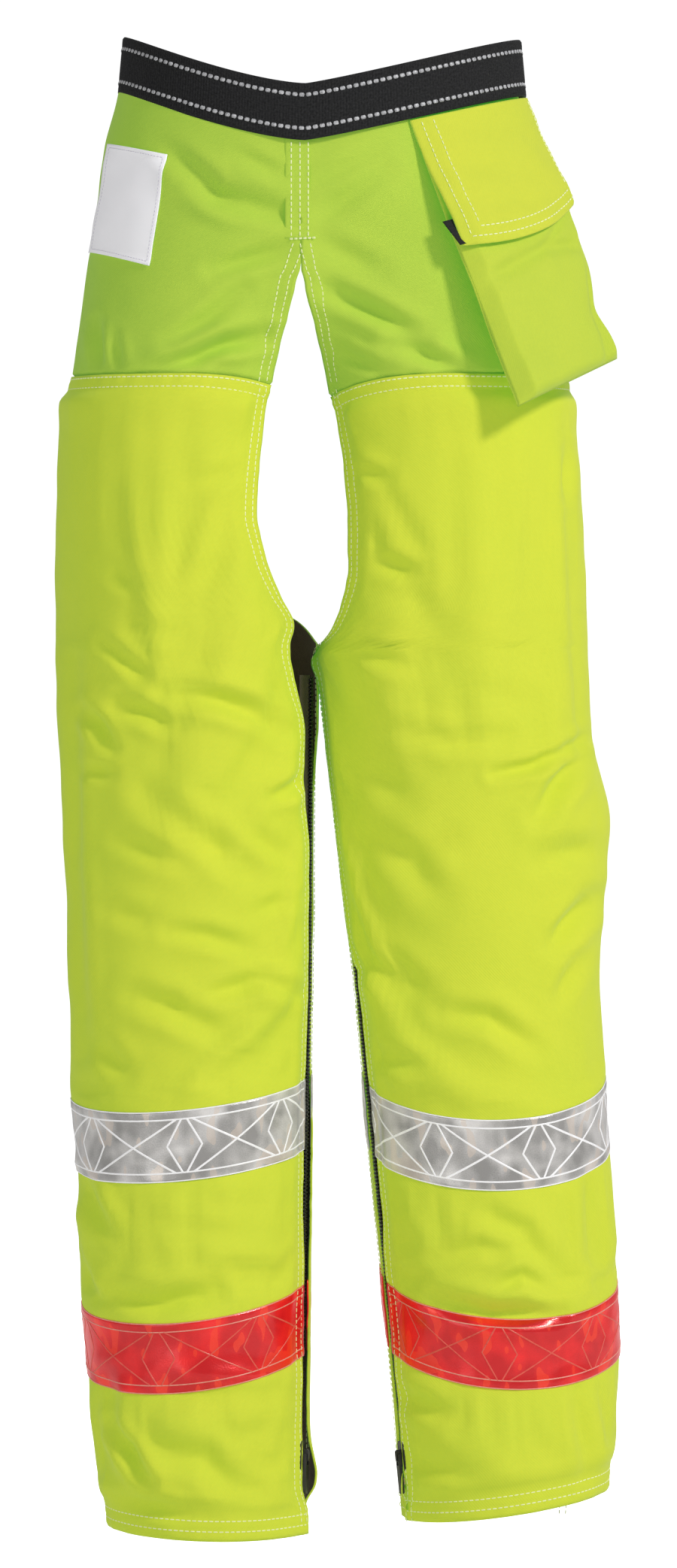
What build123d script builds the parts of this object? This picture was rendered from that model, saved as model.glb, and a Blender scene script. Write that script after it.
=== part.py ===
"""Zip-on chainsaw chaps, standing in the shape of the legs that wear them.

Millimetres, +Z up. The origin is the middle of the waist opening, at mid belt height at the hips.
-Y is the front. "right" and "left" are the wearer's, so the right leg is at negative X.

Each leg is a tube described by an angle round it: 0 is the front, +90 the inner side where the
zip runs, -90 the outer side and 180 the back. Depth is measured inwards from the outer surface.
"""

import math
import os

from build123d import *

# ---- driving dimensions -------------------------------------------------------------------
BELT_WIDTH = 40.0  # webbing
BELT_THICK = 2.2
BELT_OUT = 3.0  # from the waist line out to the webbing
WAIST_HALF_WIDTH = 143.0
WAIST_HALF_DEPTH = 97.0
BELT_REAR_DROP = 30.0  # how far the free rear webbing hangs below the hips

HIP_CREASE_Z = -170.0  # where a leg swings under the waist
THIGH_SEAM_Z = -226.0  # hip panel to leg cover
BACK_TOP_Z = -408.0  # the full wrap starts here; above it the back of the leg is open
KNEE_Z = -630.0
ZIP_TOP_Z = -430.0
ZIP_END_Z = -1000.0
SLIDER_Z = -983.0  # closed
JOINT_GAP = 1.0  # half of the gap left at the hip crease and at the knee

SHELL_THICK = 1.2  # outer cloth
PAD_DEPTH = (1.9, 6.9)  # cut-resistant pack under the shell
LINING_DEPTH = (7.4, 8.2)
PANEL_THICK = 1.5  # single cloth hip panel
TAPE_OUT = (-1.0, -0.4)  # reflective tape stands on the shell
ZIP_TAPE_DEPTH = (1.6, 2.3)

REAR_ANGLE = -150.0  # side seam, between leg cover and back panel
REAR_ANGLE_WAIST = -125.0
ZIP_GAP = 9.0  # from the middle of the zip to the cloth at each side
PAD_INSET = 22.0  # the pack stops this far short of the zip or the inner edge
BAND_WIDTH = 46.0
SEAM_X = -15.0  # centre front seam

# Stations down each leg: height, outer side, inner side, half depth front to back.
LEG = {
    "right": [
        (40, -140, 138, 97), (-20, -141, 136, 97), (-60, -151, 118, 97), (-130, -165, 58, 93),
        (-226, -181, -4, 87), (-300, -187, -5, 86), (-410, -187, -6, 84), (-560, -180, -6, 78),
        (-640, -176, -6.5, 76), (-800, -171, -8, 74), (-900, -166, -9, 73), (-1050, -152, -10, 70),
    ],
    "left": [
        (40, 140, -138, 97), (-20, 141, -136, 97), (-60, 148, -123, 97), (-130, 158, -72, 93),
        (-226, 175, -10, 87), (-300, 182, -6, 86), (-410, 186, -2, 84), (-560, 196, 12, 78),
        (-640, 196, 22, 76), (-800, 203, 36, 74), (-900, 209, 45, 73), (-1050, 203, 58, 70),
    ],
}  # fmt: skip
# Inner edge of the cloth above the full wrap: height and X.
INNER_EDGE = {
    "right": [(60, -16), (-144, -16), (-226, -35), (-300, -44), (-355, -36), (-395, -17), (-420, -8)],
    "left": [(60, -14), (-144, -14), (-226, 5), (-300, 15), (-350, 16), (-385, 9), (-420, -1)],
}
SIDE = {"right": 1.0, "left": -1.0}  # X direction from a leg's middle to its inner side
# How a ring of tape or the hem dips: height at the front, then its rise towards the inner side
# and its rise towards the back.
BANDS = {
    ("right", "silver"): (-756.0, 8.6, 11.6),
    ("left", "silver"): (-764.5, -2.9, 24.6),
    ("right", "red"): (-900.5, 10.4, 11.9),
    ("left", "red"): (-901.5, 3.5, 19.5),
}
HEM = {"right": (-1041.0, -2.0, 7.0), "left": (-1023.5, -10.2, 6.8)}


# ---- small tools --------------------------------------------------------------------------
def smooth(table, column, z):
    """Cubic interpolation of one column of a table sorted by falling height."""
    if z >= table[0][0]:
        return table[0][column]
    if z <= table[-1][0]:
        return table[-1][column]
    i = next(n for n in range(len(table) - 1) if table[n + 1][0] <= z)

    def slope(n):
        before, after = table[max(n - 1, 0)], table[min(n + 1, len(table) - 1)]
        here = table[n][column]
        if (here - before[column]) * (after[column] - here) <= 0 and 0 < n < len(table) - 1:
            return 0.0
        return (after[column] - before[column]) / (after[0] - before[0])

    (za, zb), (va, vb) = (table[i][0], table[i + 1][0]), (table[i][column], table[i + 1][column])
    h = zb - za
    t = (z - za) / h
    return (
        va * (2 * t**3 - 3 * t**2 + 1)
        + vb * (3 * t**2 - 2 * t**3)
        + h * (slope(i) * (t**3 - 2 * t**2 + t) + slope(i + 1) * (t**3 - t**2))
    )


def step(t):
    t = min(max(t, 0.0), 1.0)
    return t * t * (3 - 2 * t)


def mix(a, b, t):
    return a + (b - a) * t


def sheet(point_at, out, inn, columns, rows):
    """A closed curved sheet. point_at(s, t, depth) takes s across and t down, from 0 to 1."""

    def face(depth):
        grid = [
            [point_at(i / columns, j / rows, depth) for i in range(columns + 1)] for j in range(rows + 1)
        ]
        return Face.make_surface_from_array_of_points(grid, tol=0.02)

    outer, inner = face(out), face(inn)
    sides = []
    for edge in outer.edges():
        twin = min(inner.edges(), key=lambda e: (e @ 0.5 - edge @ 0.5).length)
        sides.append(Face.make_surface_from_curves(edge, twin))
    solid = Solid(Shell([outer, inner, *sides]))
    return solid if solid.volume > 0 else Solid(-solid)


def save(name, *solids):
    shape = solids[0] if len(solids) == 1 else Compound(children=list(solids))
    export_step(shape, f"parts/{name}.step")


# ---- the leg tube -------------------------------------------------------------------------
def tube(side, z):
    """Middle X, half width and half depth of a leg at a height."""
    outer, inner, half_depth = (smooth(LEG[side], c, z) for c in (1, 2, 3))
    return (outer + inner) / 2, abs(inner - outer) / 2, half_depth


def on_leg(side, angle, z, depth=0.0):
    middle, half_width, half_depth = tube(side, z)
    r = math.radians(angle)
    x = middle + SIDE[side] * (half_width - depth) * math.sin(r)
    y = -(half_depth - depth) * math.cos(r)
    # The two sides share one flat front near the centre seam.
    near = math.exp(-(((x - SEAM_X) / 30) ** 2)) * step((z - THIGH_SEAM_Z) / 80)
    if math.cos(r) > 0:
        y = mix(y, -(half_depth - depth), near)
    return x, y, z


def angle_of_x(side, x, z):
    middle, half_width, _ = tube(side, z)
    return math.degrees(math.asin(max(-1.0, min(1.0, SIDE[side] * (x - middle) / half_width))))


def zip_angle(side, z):
    """The zip faces inwards, and turns a little to the front towards the ankle."""
    return mix(80.0, 68.0, (z - KNEE_Z) / (ZIP_END_Z - KNEE_Z)) if z < KNEE_Z else 80.0


def cover_edge(side, z, inset=0.0):
    """Angle of the leg cover's inner edge, or of a line that runs inset inside it."""
    half_depth = tube(side, z)[2]
    at_zip = zip_angle(side, z) - math.degrees((ZIP_GAP + inset) / half_depth)
    at_edge = angle_of_x(side, smooth(INNER_EDGE[side], 1, z), z) - math.degrees(inset / half_depth)
    return mix(at_edge, at_zip, step((-395 - z) / 35))


def back_edge(side, z, inset=0.0):
    return zip_angle(side, z) + math.degrees((ZIP_GAP + inset) / tube(side, z)[2])


def rear_edge(z):
    return mix(REAR_ANGLE, REAR_ANGLE_WAIST, step((z - THIGH_SEAM_Z) / 200))


def ring(shape, angle):
    """Height at an angle of a line that dips at the front."""
    front, to_inner, to_back = shape
    r = math.radians(angle)
    return front + to_inner * math.sin(r) + to_back * (1 - math.cos(r))


def leg_sheet(side, start, end, top, bottom, out, inn, columns=14, rows=12):
    """A sheet on the leg from start(z) to end(z) round it and from top(angle) to bottom(angle) down it."""

    def point_at(s, t, depth):
        z = mix(top(0), bottom(0), t)
        angle = mix(start(z), end(z), s)
        z = mix(top(angle), bottom(angle), t)
        return on_leg(side, angle, z, depth)

    return sheet(point_at, out, inn, columns, rows)


def level(z):
    return lambda angle: z


# ---- waist --------------------------------------------------------------------------------
REAR_TURN = math.radians(-REAR_ANGLE_WAIST)
CORNER_R = 45.0
CORNER_X = WAIST_HALF_WIDTH * math.sin(REAR_TURN)
CORNER_Y = -WAIST_HALF_DEPTH * math.cos(REAR_TURN)
CORNER_NORMAL = math.atan2(  # direction of the belt's outward normal where it leaves the hip panel
    -math.cos(REAR_TURN) / WAIST_HALF_DEPTH, math.sin(REAR_TURN) / WAIST_HALF_WIDTH
)
REAR_X = CORNER_X - CORNER_R * math.cos(CORNER_NORMAL)
REAR_Y = CORNER_Y - CORNER_R * math.sin(CORNER_NORMAL) + CORNER_R


def belt_middle(x):
    """Height of the belt's mid line over the front, lowest just right of the centre seam."""
    away = x + 12.0
    rise = 0.0244 * (-away) ** 1.5 if away < 0 else 0.1066 * away**1.15
    return -35.5 + rise


def belt_point(q, out):
    """Plan of the belt. q runs from -1 at the right rear, over 0 at the front, to 1 at the left rear."""
    sign = 1.0 if q >= 0 else -1.0
    share = abs(q)
    front_share = 0.72
    if share <= front_share:
        r = REAR_TURN * share / front_share
        nx, ny = math.sin(r) / WAIST_HALF_WIDTH, -math.cos(r) / WAIST_HALF_DEPTH
        length = math.hypot(nx, ny)
        x = WAIST_HALF_WIDTH * math.sin(r) + out * nx / length
        y = -WAIST_HALF_DEPTH * math.cos(r) + out * ny / length
        past_side = max(0.0, math.degrees(r) - 80)
        z = mix(belt_middle(sign * x), -BELT_REAR_DROP, step(past_side / 100))
    else:
        turn = mix(CORNER_NORMAL, math.pi / 2, min(1.0, (share - front_share) / 0.14))
        run = max(0.0, share - front_share - 0.14) / 0.14
        x = REAR_X + (CORNER_R + out) * math.cos(turn) - run * (REAR_X - BELT_END_X[sign])
        y = REAR_Y - CORNER_R + (CORNER_R + out) * math.sin(turn)
        at_corner = math.degrees(REAR_TURN) - 80
        z = mix(belt_middle(sign * 139), -BELT_REAR_DROP, step((at_corner + 55 * (share - front_share) / 0.14) / 100))
    return sign * x, y, z


BELT_END_X = {1.0: 24.0, -1.0: 78.0}  # webbing ends, from the middle of the back


def waist_belt():
    def point_at(s, t, out):
        x, y, z = belt_point(mix(-1, 1, s), out)
        return x, y, z + BELT_WIDTH * (0.5 - t)

    return sheet(point_at, BELT_OUT + BELT_THICK, BELT_OUT, 96, 1)


def hip_panel(side, top, bottom):
    """Single cloth from the belt to the thigh seam, in an upper and a lower part at the hip crease."""

    def start(z):
        return rear_edge(z)

    def end(z):
        return angle_of_x(side, smooth(INNER_EDGE[side], 1, z), z)

    def point_at(s, t, depth):
        z = mix(top, bottom, t)
        angle = mix(start(z), end(z), s)
        if top > HIP_CREASE_Z:  # the top edge follows the belt, 8 mm up behind it
            under_belt = belt_middle(on_leg(side, angle, z)[0]) - BELT_WIDTH / 2 + 8
            z = mix(under_belt, bottom, t)
            angle = mix(start(z), end(z), s)
        return on_leg(side, angle, z, depth)

    return sheet(point_at, 0, PANEL_THICK, 16, 6)


def centre_placket():
    """Stitched strip over the centre front seam."""

    def point_at(s, t, out):
        z = mix(-57, -124, t)
        return mix(SEAM_X - 7, SEAM_X + 7, s), -tube("right", z)[2] - 0.6 - out, z

    return sheet(point_at, 1.2, 0, 2, 4)


def care_label():
    """Blank sewn label on the right hip."""

    def point_at(s, t, depth):
        z = mix(-56, -140, t)
        return on_leg("right", mix(-89, -38, s) - 3 * t, z - 8 * s, depth)

    return sheet(point_at, -0.9, -0.3, 6, 4)


# ---- rear buckle --------------------------------------------------------------------------
BUCKLE_Y = REAR_Y + BELT_OUT + 2.4
BUCKLE_Z = -BELT_REAR_DROP
SOCKET_LENGTH, SOCKET_THICK, BUCKLE_WIDTH = 34.0, 12.0, 50.0
SOCKET_MOUTH_X = -2.0
PLUG_BASE_LENGTH, PLUG_THICK = 30.0, 8.0
STRAP_Y = REAR_Y + BELT_OUT + BELT_THICK + 0.4  # inner face of the sliding strap
PRONG_PIVOT_X, PRONG_PIVOT_Z = -4.5, 14.0


def at_buckle(shape):
    return Pos(0, BUCKLE_Y, BUCKLE_Z) * shape


def box(x0, x1, y0, y1, z0, z1):
    """A box from its two corners."""
    return Pos((x0 + x1) / 2, (y0 + y1) / 2, (z0 + z1) / 2) * Box(x1 - x0, y1 - y0, z1 - z0)


def buckle_socket():
    end_x = SOCKET_MOUTH_X + SOCKET_LENGTH
    half = BUCKLE_WIDTH / 2
    body = fillet(box(SOCKET_MOUTH_X, end_x, -6, 6, -half, half).edges().filter_by(Axis.X), 2.5)
    body -= box(SOCKET_MOUTH_X - 1, 20, -3.5, 3.5, -22, 22)  # cavity
    for sign in (1, -1):
        z = sorted((sign * 21.5, sign * (half + 1)))
        body -= box(4, 18.5, -3.5, 3.5, *z)  # window for the prong's head
        body -= box(SOCKET_MOUTH_X - 1, 5, -1.9, 1.9, *z)  # groove that lets the head out
    webbing = REAR_Y + BELT_OUT + BELT_THICK / 2 - BUCKLE_Y
    body -= box(22, end_x + 1, webbing - 1.4, webbing + 1.4, -20.4, 20.4)
    return at_buckle(body)


def buckle_plug():
    start_x = SOCKET_MOUTH_X - 0.6 - PLUG_BASE_LENGTH
    half = BUCKLE_WIDTH / 2
    base = fillet(box(start_x, SOCKET_MOUTH_X - 0.6, -4, 4, -half, half).edges().filter_by(Axis.Y), 3.0)
    base -= box(start_x + 6, start_x + 12, -5, 5, -21, 21)  # window behind the bar
    strap = STRAP_Y + BELT_THICK / 2 - BUCKLE_Y
    base -= box(start_x - 1, start_x + 9, strap - 1.4, strap + 1.4, -20.4, 20.4)
    base += box(SOCKET_MOUTH_X - 2, 17, -2.4, 2.4, -4, 4)  # centre guide
    for sign in (1, -1):
        seat = Pos(PRONG_PIVOT_X, 0, sign * PRONG_PIVOT_Z) * Rot(90, 0, 0) * Cylinder(2.7, 20)
        base -= seat
        z = sorted((sign * (PRONG_PIVOT_Z - 2.7), sign * (PRONG_PIVOT_Z + 2.7)))
        base -= box(PRONG_PIVOT_X, 0, -5, 5, *z)
    return at_buckle(base)


def buckle_prong(sign):
    """One side arm of the plug, with the head that shows in the socket's window."""
    root = Rot(90, 0, 0) * Cylinder(2.5, 5.6)
    with BuildSketch(Plane.XZ) as outline:
        with BuildLine():
            Polyline(
                (0, -1.4), (22, -1.4), (24, 0.6), (23, 4.5), (20.5, 9.6), (11.5, 9.6),
                (10, 6.0), (10, 1.6), (0, 1.6), close=True,
            )  # fmt: skip
        make_face()
    arm = extrude(outline.sketch, 1.5, both=True)
    prong = root + arm
    if sign < 0:
        prong = mirror(prong, Plane.XY)
    return at_buckle(Pos(PRONG_PIVOT_X, 0, sign * PRONG_PIVOT_Z) * prong)


def adjust_strap():
    start_x = SOCKET_MOUTH_X - 0.6 - PLUG_BASE_LENGTH
    return box(-88, start_x + 7, STRAP_Y, STRAP_Y + BELT_THICK, BUCKLE_Z - 20, BUCKLE_Z + 20)


def belt_keeper():
    """Loop that holds the sliding strap against the webbing."""
    low, high = REAR_Y + BELT_OUT - 0.6, STRAP_Y + BELT_THICK + 0.5
    outer = box(-84, -72, low - 2, high + 2, BUCKLE_Z - 23.5, BUCKLE_Z + 23.5)
    outer = fillet(outer.edges().filter_by(Axis.X), 1.2)
    return outer - box(-85, -71, low, high, BUCKLE_Z - 21, BUCKLE_Z + 21)


# ---- pocket -------------------------------------------------------------------------------
POCKET_TOP = (25.0, 84.0)  # angles round the waist
POCKET_FOOT = ((137.0, -110.0, -243.0), (212.0, -24.0, -207.0))
POCKET_OUT = (0.6135, -0.726, 0.309)  # outward at the foot
POCKET_MOUTH = 0.40  # share of the height
FLAP_END = 0.47
CLOTH = 1.5


def pocket_point(u, v, out):
    """u across from the front edge, v down from the belt, out away from the leg."""
    r = math.radians(mix(*POCKET_TOP, u))
    top = [(WAIST_HALF_WIDTH + 2) * math.sin(r), -(WAIST_HALF_DEPTH + 2) * math.cos(r)]
    top.append(belt_middle(top[0]) - BELT_WIDTH / 2 - 2.5)
    foot = [mix(a, b, u) for a, b in zip(*POCKET_FOOT)]
    outward = [mix(a, b, v) for a, b in zip((math.sin(r), -math.cos(r), 0.0), POCKET_OUT)]
    length = math.sqrt(sum(c * c for c in outward))
    return tuple(mix(a, b, v) + out * c / length for a, b, c in zip(top, foot, outward))


def pouch_depth(v):
    return 9 + 19 * max(0.0, (v - POCKET_MOUTH) / (1 - POCKET_MOUTH)) ** 1.3


def flap_depth(v):
    return 2.2 + 11 * v / FLAP_END


def pocket_sheet(u, v, out, inn, columns=10, rows=6):
    """A sheet on the pocket: out and inn are distances from its back, as functions of v."""

    def point_at(s, t, face):
        height = mix(*v, t)
        return pocket_point(mix(*u, s), height, face(height))

    return sheet(point_at, out, inn, columns, rows)


def pocket_pouch():
    block = pocket_sheet((0.01, 0.99), (POCKET_MOUTH, 1.0), pouch_depth, lambda v: CLOTH + 0.3)
    hollow = pocket_sheet(
        (0.025, 0.975), (POCKET_MOUTH - 0.05, 0.985), lambda v: pouch_depth(v) - CLOTH, lambda v: CLOTH - 0.5
    )
    return block - hollow


def pocket_nodes():
    save("pocket_back", pocket_sheet((0, 1), (0.0, 1.0), lambda v: CLOTH, lambda v: 0.0))
    save("pocket_pouch", pocket_pouch())
    save(
        "pocket_loop_tape",
        pocket_sheet((0.1, 0.9), (0.405, 0.455), lambda v: pouch_depth(v) + 0.9, lambda v: pouch_depth(v) + 0.2),
    )
    save(
        "pocket_flap",
        pocket_sheet((0.0, 1.0), (0.0, FLAP_END), lambda v: flap_depth(v) + CLOTH, lambda v: flap_depth(v)),
    )
    save(
        "pocket_hook_tape",
        pocket_sheet((0.1, 0.9), (0.405, 0.455), lambda v: flap_depth(v) - 0.2, lambda v: flap_depth(v) - 0.9),
    )


# ---- zip ----------------------------------------------------------------------------------
CHAIN_HALF, CHAIN_THICK, CHAIN_SPLIT = 4.6, 3.0, 0.5
ZIP_DEPTH = 1.9  # middle of the chain
SLIDER_LENGTH, SLIDER_HALF = 22.0, 6.4
PULL_LENGTH = 27.0
TAPE_REACH = 17.0  # zip tape, from the middle of the chain to its outer edge


def zip_frame(side):
    """Plane on the straight lower zip: origin at the closed slider, x outwards, z up along the chain."""
    high = Vector(*on_leg(side, zip_angle(side, KNEE_Z), KNEE_Z, ZIP_DEPTH))
    low = Vector(*on_leg(side, zip_angle(side, ZIP_END_Z), ZIP_END_Z, ZIP_DEPTH))
    along = (high - low).normalized()
    out = Vector(SIDE[side] * math.sin(math.radians(74)), -math.cos(math.radians(74)), 0)
    out = (out - along * out.dot(along)).normalized()
    origin = low + along * ((SLIDER_Z - low.Z) / along.Z)
    return Plane(origin=origin, x_dir=out, z_dir=along)


def shin_chain(side):
    frame = zip_frame(side)
    top = (KNEE_Z - 4 - SLIDER_Z) / frame.z_dir.Z
    bottom = (ZIP_END_Z + 2 - SLIDER_Z) / frame.z_dir.Z
    rows = []
    for sign in (1, -1):
        y = sorted((sign * CHAIN_SPLIT, sign * CHAIN_HALF))
        rows.append(frame * box(-CHAIN_THICK / 2, CHAIN_THICK / 2, *y, bottom, top))
    return rows


def thigh_chain(side):
    def row(sign):
        def point_at(s, t, depth):
            return beside_zip(side, mix(ZIP_TOP_Z, KNEE_Z + 4, t), sign * mix(CHAIN_SPLIT, CHAIN_HALF, s), depth)

        return sheet(point_at, 0.4, 0.4 + CHAIN_THICK, 2, 6)

    return [row(1), row(-1)]


def beside_zip(side, z, offset, depth):
    """A point at a distance round the leg from the middle of the zip."""
    return on_leg(side, zip_angle(side, z) + math.degrees(offset / tube(side, z)[2]), z, depth)


def zip_tapes(side, part, top, bottom):
    """The two woven tapes that the chain is sewn to, from the chain to under the cloth."""
    frame = zip_frame(side)

    def tape(sign):
        def point_at(s, t, depth):
            z = mix(top, bottom, t)
            near = beside_zip(side, z, sign * (CHAIN_HALF + 0.3), depth)
            if part == "shin":  # here the chain is straight
                up = (z - frame.origin.Z) / frame.z_dir.Z
                across = sign * SIDE[side] * (CHAIN_HALF + 0.3)
                near = tuple(frame.from_local_coords((ZIP_DEPTH - depth, across, up)))
            far = beside_zip(side, z, sign * TAPE_REACH, depth)
            return tuple(mix(a, b, s) for a, b in zip(near, far))

        return sheet(point_at, *ZIP_TAPE_DEPTH, 3, 8)

    return [tape(1), tape(-1)]


def zip_slider(side):
    half_length = SLIDER_LENGTH / 2
    gap = CHAIN_THICK / 2 + 0.4
    body = box(-gap - 1.4, gap + 1.6, -SLIDER_HALF, SLIDER_HALF, -half_length, half_length)
    body = chamfer(body.edges().filter_by(Axis.X), 2.2)
    body -= box(-gap, gap, -CHAIN_HALF - 0.4, CHAIN_HALF + 0.4, -half_length - 1, half_length + 1)
    body -= box(-1.1, 1.1, -SLIDER_HALF - 1, SLIDER_HALF + 1, -half_length - 1, half_length + 1)
    body += box(-gap - 0.5, gap + 0.5, -0.25, 0.25, -half_length + 2, -half_length + 8)
    crown = box(gap + 1.5, gap + 5.6, -1.5, 1.5, -4, 5)
    crown = fillet(crown.edges().filter_by(Axis.Y).sort_by(Axis.X)[-2:], 2.0)
    body += crown
    body -= Pos(gap + 3.6, 0, 0.5) * Rot(90, 0, 0) * Cylinder(1.1, 8)
    return zip_frame(side) * body


def zip_pull(side):
    pivot_x = CHAIN_THICK / 2 + 0.4 + 3.6
    pin = Pos(pivot_x, 0, 0.5) * Rot(90, 0, 0) * Cylinder(1.0, 7.0)
    pull = pin
    for sign in (1, -1):
        y = sorted((sign * 2.0, sign * 3.5))
        pull += box(pivot_x - 1.1, pivot_x + 1.1, *y, -6.5, 1.6)
    tab = box(pivot_x - 1.1, pivot_x + 1.1, -3.5, 3.5, 0.5 - PULL_LENGTH, -6.4)
    tab = fillet(tab.edges().filter_by(Axis.X).group_by(Axis.Z)[0], 2.5)
    return zip_frame(side) * (pull + tab)


def zip_stop(side):
    frame = zip_frame(side)
    low = (ZIP_END_Z - SLIDER_Z) / frame.z_dir.Z
    return frame * box(-1.9, 1.9, -CHAIN_HALF, CHAIN_HALF, low - 3, low + 1.5)


# ---- legs ---------------------------------------------------------------------------------
def leg_part(side, part, top, bottom):
    """Shell, pack, lining, back panel, zip tapes and chain of the thigh or of the shin."""

    def start(z):
        return rear_edge(z)

    def pad_start(z):
        return rear_edge(z) + 4

    def pad_end(z):
        return cover_edge(side, z, PAD_INSET)

    hem = HEM[side]

    def at_bottom(above):
        if bottom is None:
            return lambda angle: ring(hem, angle) + above
        return level(bottom)

    name = f"{side}_{part}"
    pad_top = level(top - (6 if part == "thigh" else 0))
    save(
        f"{name}_shell",
        leg_sheet(side, start, lambda z: cover_edge(side, z), level(top), at_bottom(0), 0, SHELL_THICK),
    )
    save(f"{name}_pad", leg_sheet(side, pad_start, pad_end, pad_top, at_bottom(28), *PAD_DEPTH))
    save(f"{name}_lining", leg_sheet(side, pad_start, pad_end, pad_top, at_bottom(24), *LINING_DEPTH))
    back_top = level(BACK_TOP_Z if part == "thigh" else top)
    save(
        f"{name}_back",
        leg_sheet(
            side, lambda z: -360 + back_edge(side, z), lambda z: REAR_ANGLE - 0.5, back_top, at_bottom(0), 0,
            SHELL_THICK,
        ),
    )  # fmt: skip
    zip_top, zip_bottom = (ZIP_TOP_Z, bottom) if part == "thigh" else (top, ZIP_END_Z)
    save(f"{name}_zip_tapes", *zip_tapes(side, part, zip_top, zip_bottom))
    save(f"{name}_zip_chain", *(thigh_chain(side) if part == "thigh" else shin_chain(side)))


def reflective_band(side, colour):
    """Tape on the cover and on the back panel, parted at the zip and at the side seam."""
    shape = BANDS[side, colour]

    def top(angle):
        return ring(shape, angle) + BAND_WIDTH / 2

    def bottom(angle):
        return ring(shape, angle) - BAND_WIDTH / 2

    front = leg_sheet(
        side, lambda z: REAR_ANGLE + 0.5, lambda z: cover_edge(side, z, 0.6), top, bottom, *TAPE_OUT, 16, 3
    )
    back = leg_sheet(
        side, lambda z: -360 + back_edge(side, z, 0.6), lambda z: REAR_ANGLE - 1.0, top, bottom, *TAPE_OUT, 16, 3
    )
    return front, back


def hem_facing(side):
    """Cloth turned up inside the bottom edge."""

    def piece(start, end):
        return leg_sheet(
            side, start, end, lambda a: ring(HEM[side], a) + 20, lambda a: ring(HEM[side], a) + 1,
            SHELL_THICK + 0.4, SHELL_THICK + 1.6, 14, 2,
        )  # fmt: skip

    return (
        piece(lambda z: REAR_ANGLE + 1, lambda z: cover_edge(side, z, 9)),
        piece(lambda z: -360 + back_edge(side, z, 9), lambda z: REAR_ANGLE - 1.5),
    )


def main():
    os.makedirs("parts", exist_ok=True)
    save("waist_belt", waist_belt())
    save("centre_placket", centre_placket())
    save("care_label", care_label())
    save("buckle_socket", buckle_socket())
    save("buckle_plug", buckle_plug())
    save("buckle_prong_upper", buckle_prong(1))
    save("buckle_prong_lower", buckle_prong(-1))
    save("adjust_strap", adjust_strap())
    save("belt_keeper", belt_keeper())
    pocket_nodes()
    for side in ("right", "left"):
        save(f"{side}_hip_panel", hip_panel(side, 0.0, HIP_CREASE_Z + JOINT_GAP))
        save(f"{side}_hip_panel_lower", hip_panel(side, HIP_CREASE_Z - JOINT_GAP, THIGH_SEAM_Z + 0.5))
        leg_part(side, "thigh", THIGH_SEAM_Z - 0.5, KNEE_Z + JOINT_GAP)
        leg_part(side, "shin", KNEE_Z - JOINT_GAP, None)
        for colour in ("silver", "red"):
            save(f"{side}_{colour}_band", *reflective_band(side, colour))
        save(f"{side}_hem_facing", *hem_facing(side))
        save(f"{side}_zip_slider", zip_slider(side))
        save(f"{side}_zip_pull", zip_pull(side))
        save(f"{side}_zip_stop", zip_stop(side))


main()
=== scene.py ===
import math

import bpy
import numpy as np
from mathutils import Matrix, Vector


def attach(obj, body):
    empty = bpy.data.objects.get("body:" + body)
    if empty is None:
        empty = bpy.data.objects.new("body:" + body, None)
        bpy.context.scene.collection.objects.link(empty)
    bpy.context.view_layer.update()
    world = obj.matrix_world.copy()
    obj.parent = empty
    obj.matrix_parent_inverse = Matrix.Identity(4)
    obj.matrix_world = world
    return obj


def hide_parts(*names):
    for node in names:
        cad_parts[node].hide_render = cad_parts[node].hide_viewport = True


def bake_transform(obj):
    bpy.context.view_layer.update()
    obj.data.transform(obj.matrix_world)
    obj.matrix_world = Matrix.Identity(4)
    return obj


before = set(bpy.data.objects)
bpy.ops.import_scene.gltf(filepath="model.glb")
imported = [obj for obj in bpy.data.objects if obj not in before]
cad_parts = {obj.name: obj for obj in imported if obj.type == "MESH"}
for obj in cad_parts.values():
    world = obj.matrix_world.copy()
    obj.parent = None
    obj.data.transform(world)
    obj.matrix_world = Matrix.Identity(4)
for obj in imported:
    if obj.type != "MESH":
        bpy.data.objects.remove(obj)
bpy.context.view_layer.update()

MM = 0.001
SIDES = ("right", "left")
INWARD = {"right": 1.0, "left": -1.0}  # X direction from a leg's middle to its inner side


# ---- numbers along curves -----------------------------------------------------------------
def track(table):
    """A smooth curve through (height, value) pairs, sorted by falling height."""
    points = np.array(sorted(table), float)
    zs, vs = points[:, 0], points[:, 1]
    step = np.diff(vs) / np.diff(zs)
    slope = np.concatenate([[step[0]], (step[1:] + step[:-1]) / 2, [step[-1]]])
    slope[1:-1][step[1:] * step[:-1] <= 0] = 0

    def at(z):
        z = np.clip(z, zs[0], zs[-1])
        i = np.clip(np.searchsorted(zs, z, side="right") - 1, 0, len(zs) - 2)
        h = zs[i + 1] - zs[i]
        t = (z - zs[i]) / h
        return (
            vs[i] * (2 * t**3 - 3 * t**2 + 1)
            + vs[i + 1] * (3 * t**2 - 2 * t**3)
            + h * (slope[i] * (t**3 - 2 * t**2 + t) + slope[i + 1] * (t**3 - t**2))
        )

    return at


def ease(t):
    t = np.clip(t, 0, 1)
    return t * t * (3 - 2 * t)


def mix(a, b, t):
    return a + (b - a) * t


def lumps(u, v, size, seed):
    """Smooth seeded noise of about -1 to 1 over two lengths, with lumps of that size."""
    cells = np.random.default_rng(seed).uniform(-1, 1, (128, 128))
    u, v = np.asarray(u) / size + 40.0, np.asarray(v) / size + 40.0
    iu, iv = np.floor(u).astype(int), np.floor(v).astype(int)
    fu, fv = ease(u - iu), ease(v - iv)

    def cell(a, b):
        return cells[(iu + a) % 128, (iv + b) % 128]

    return mix(mix(cell(0, 0), cell(1, 0), fu), mix(cell(0, 1), cell(1, 1), fu), fv)


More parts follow.
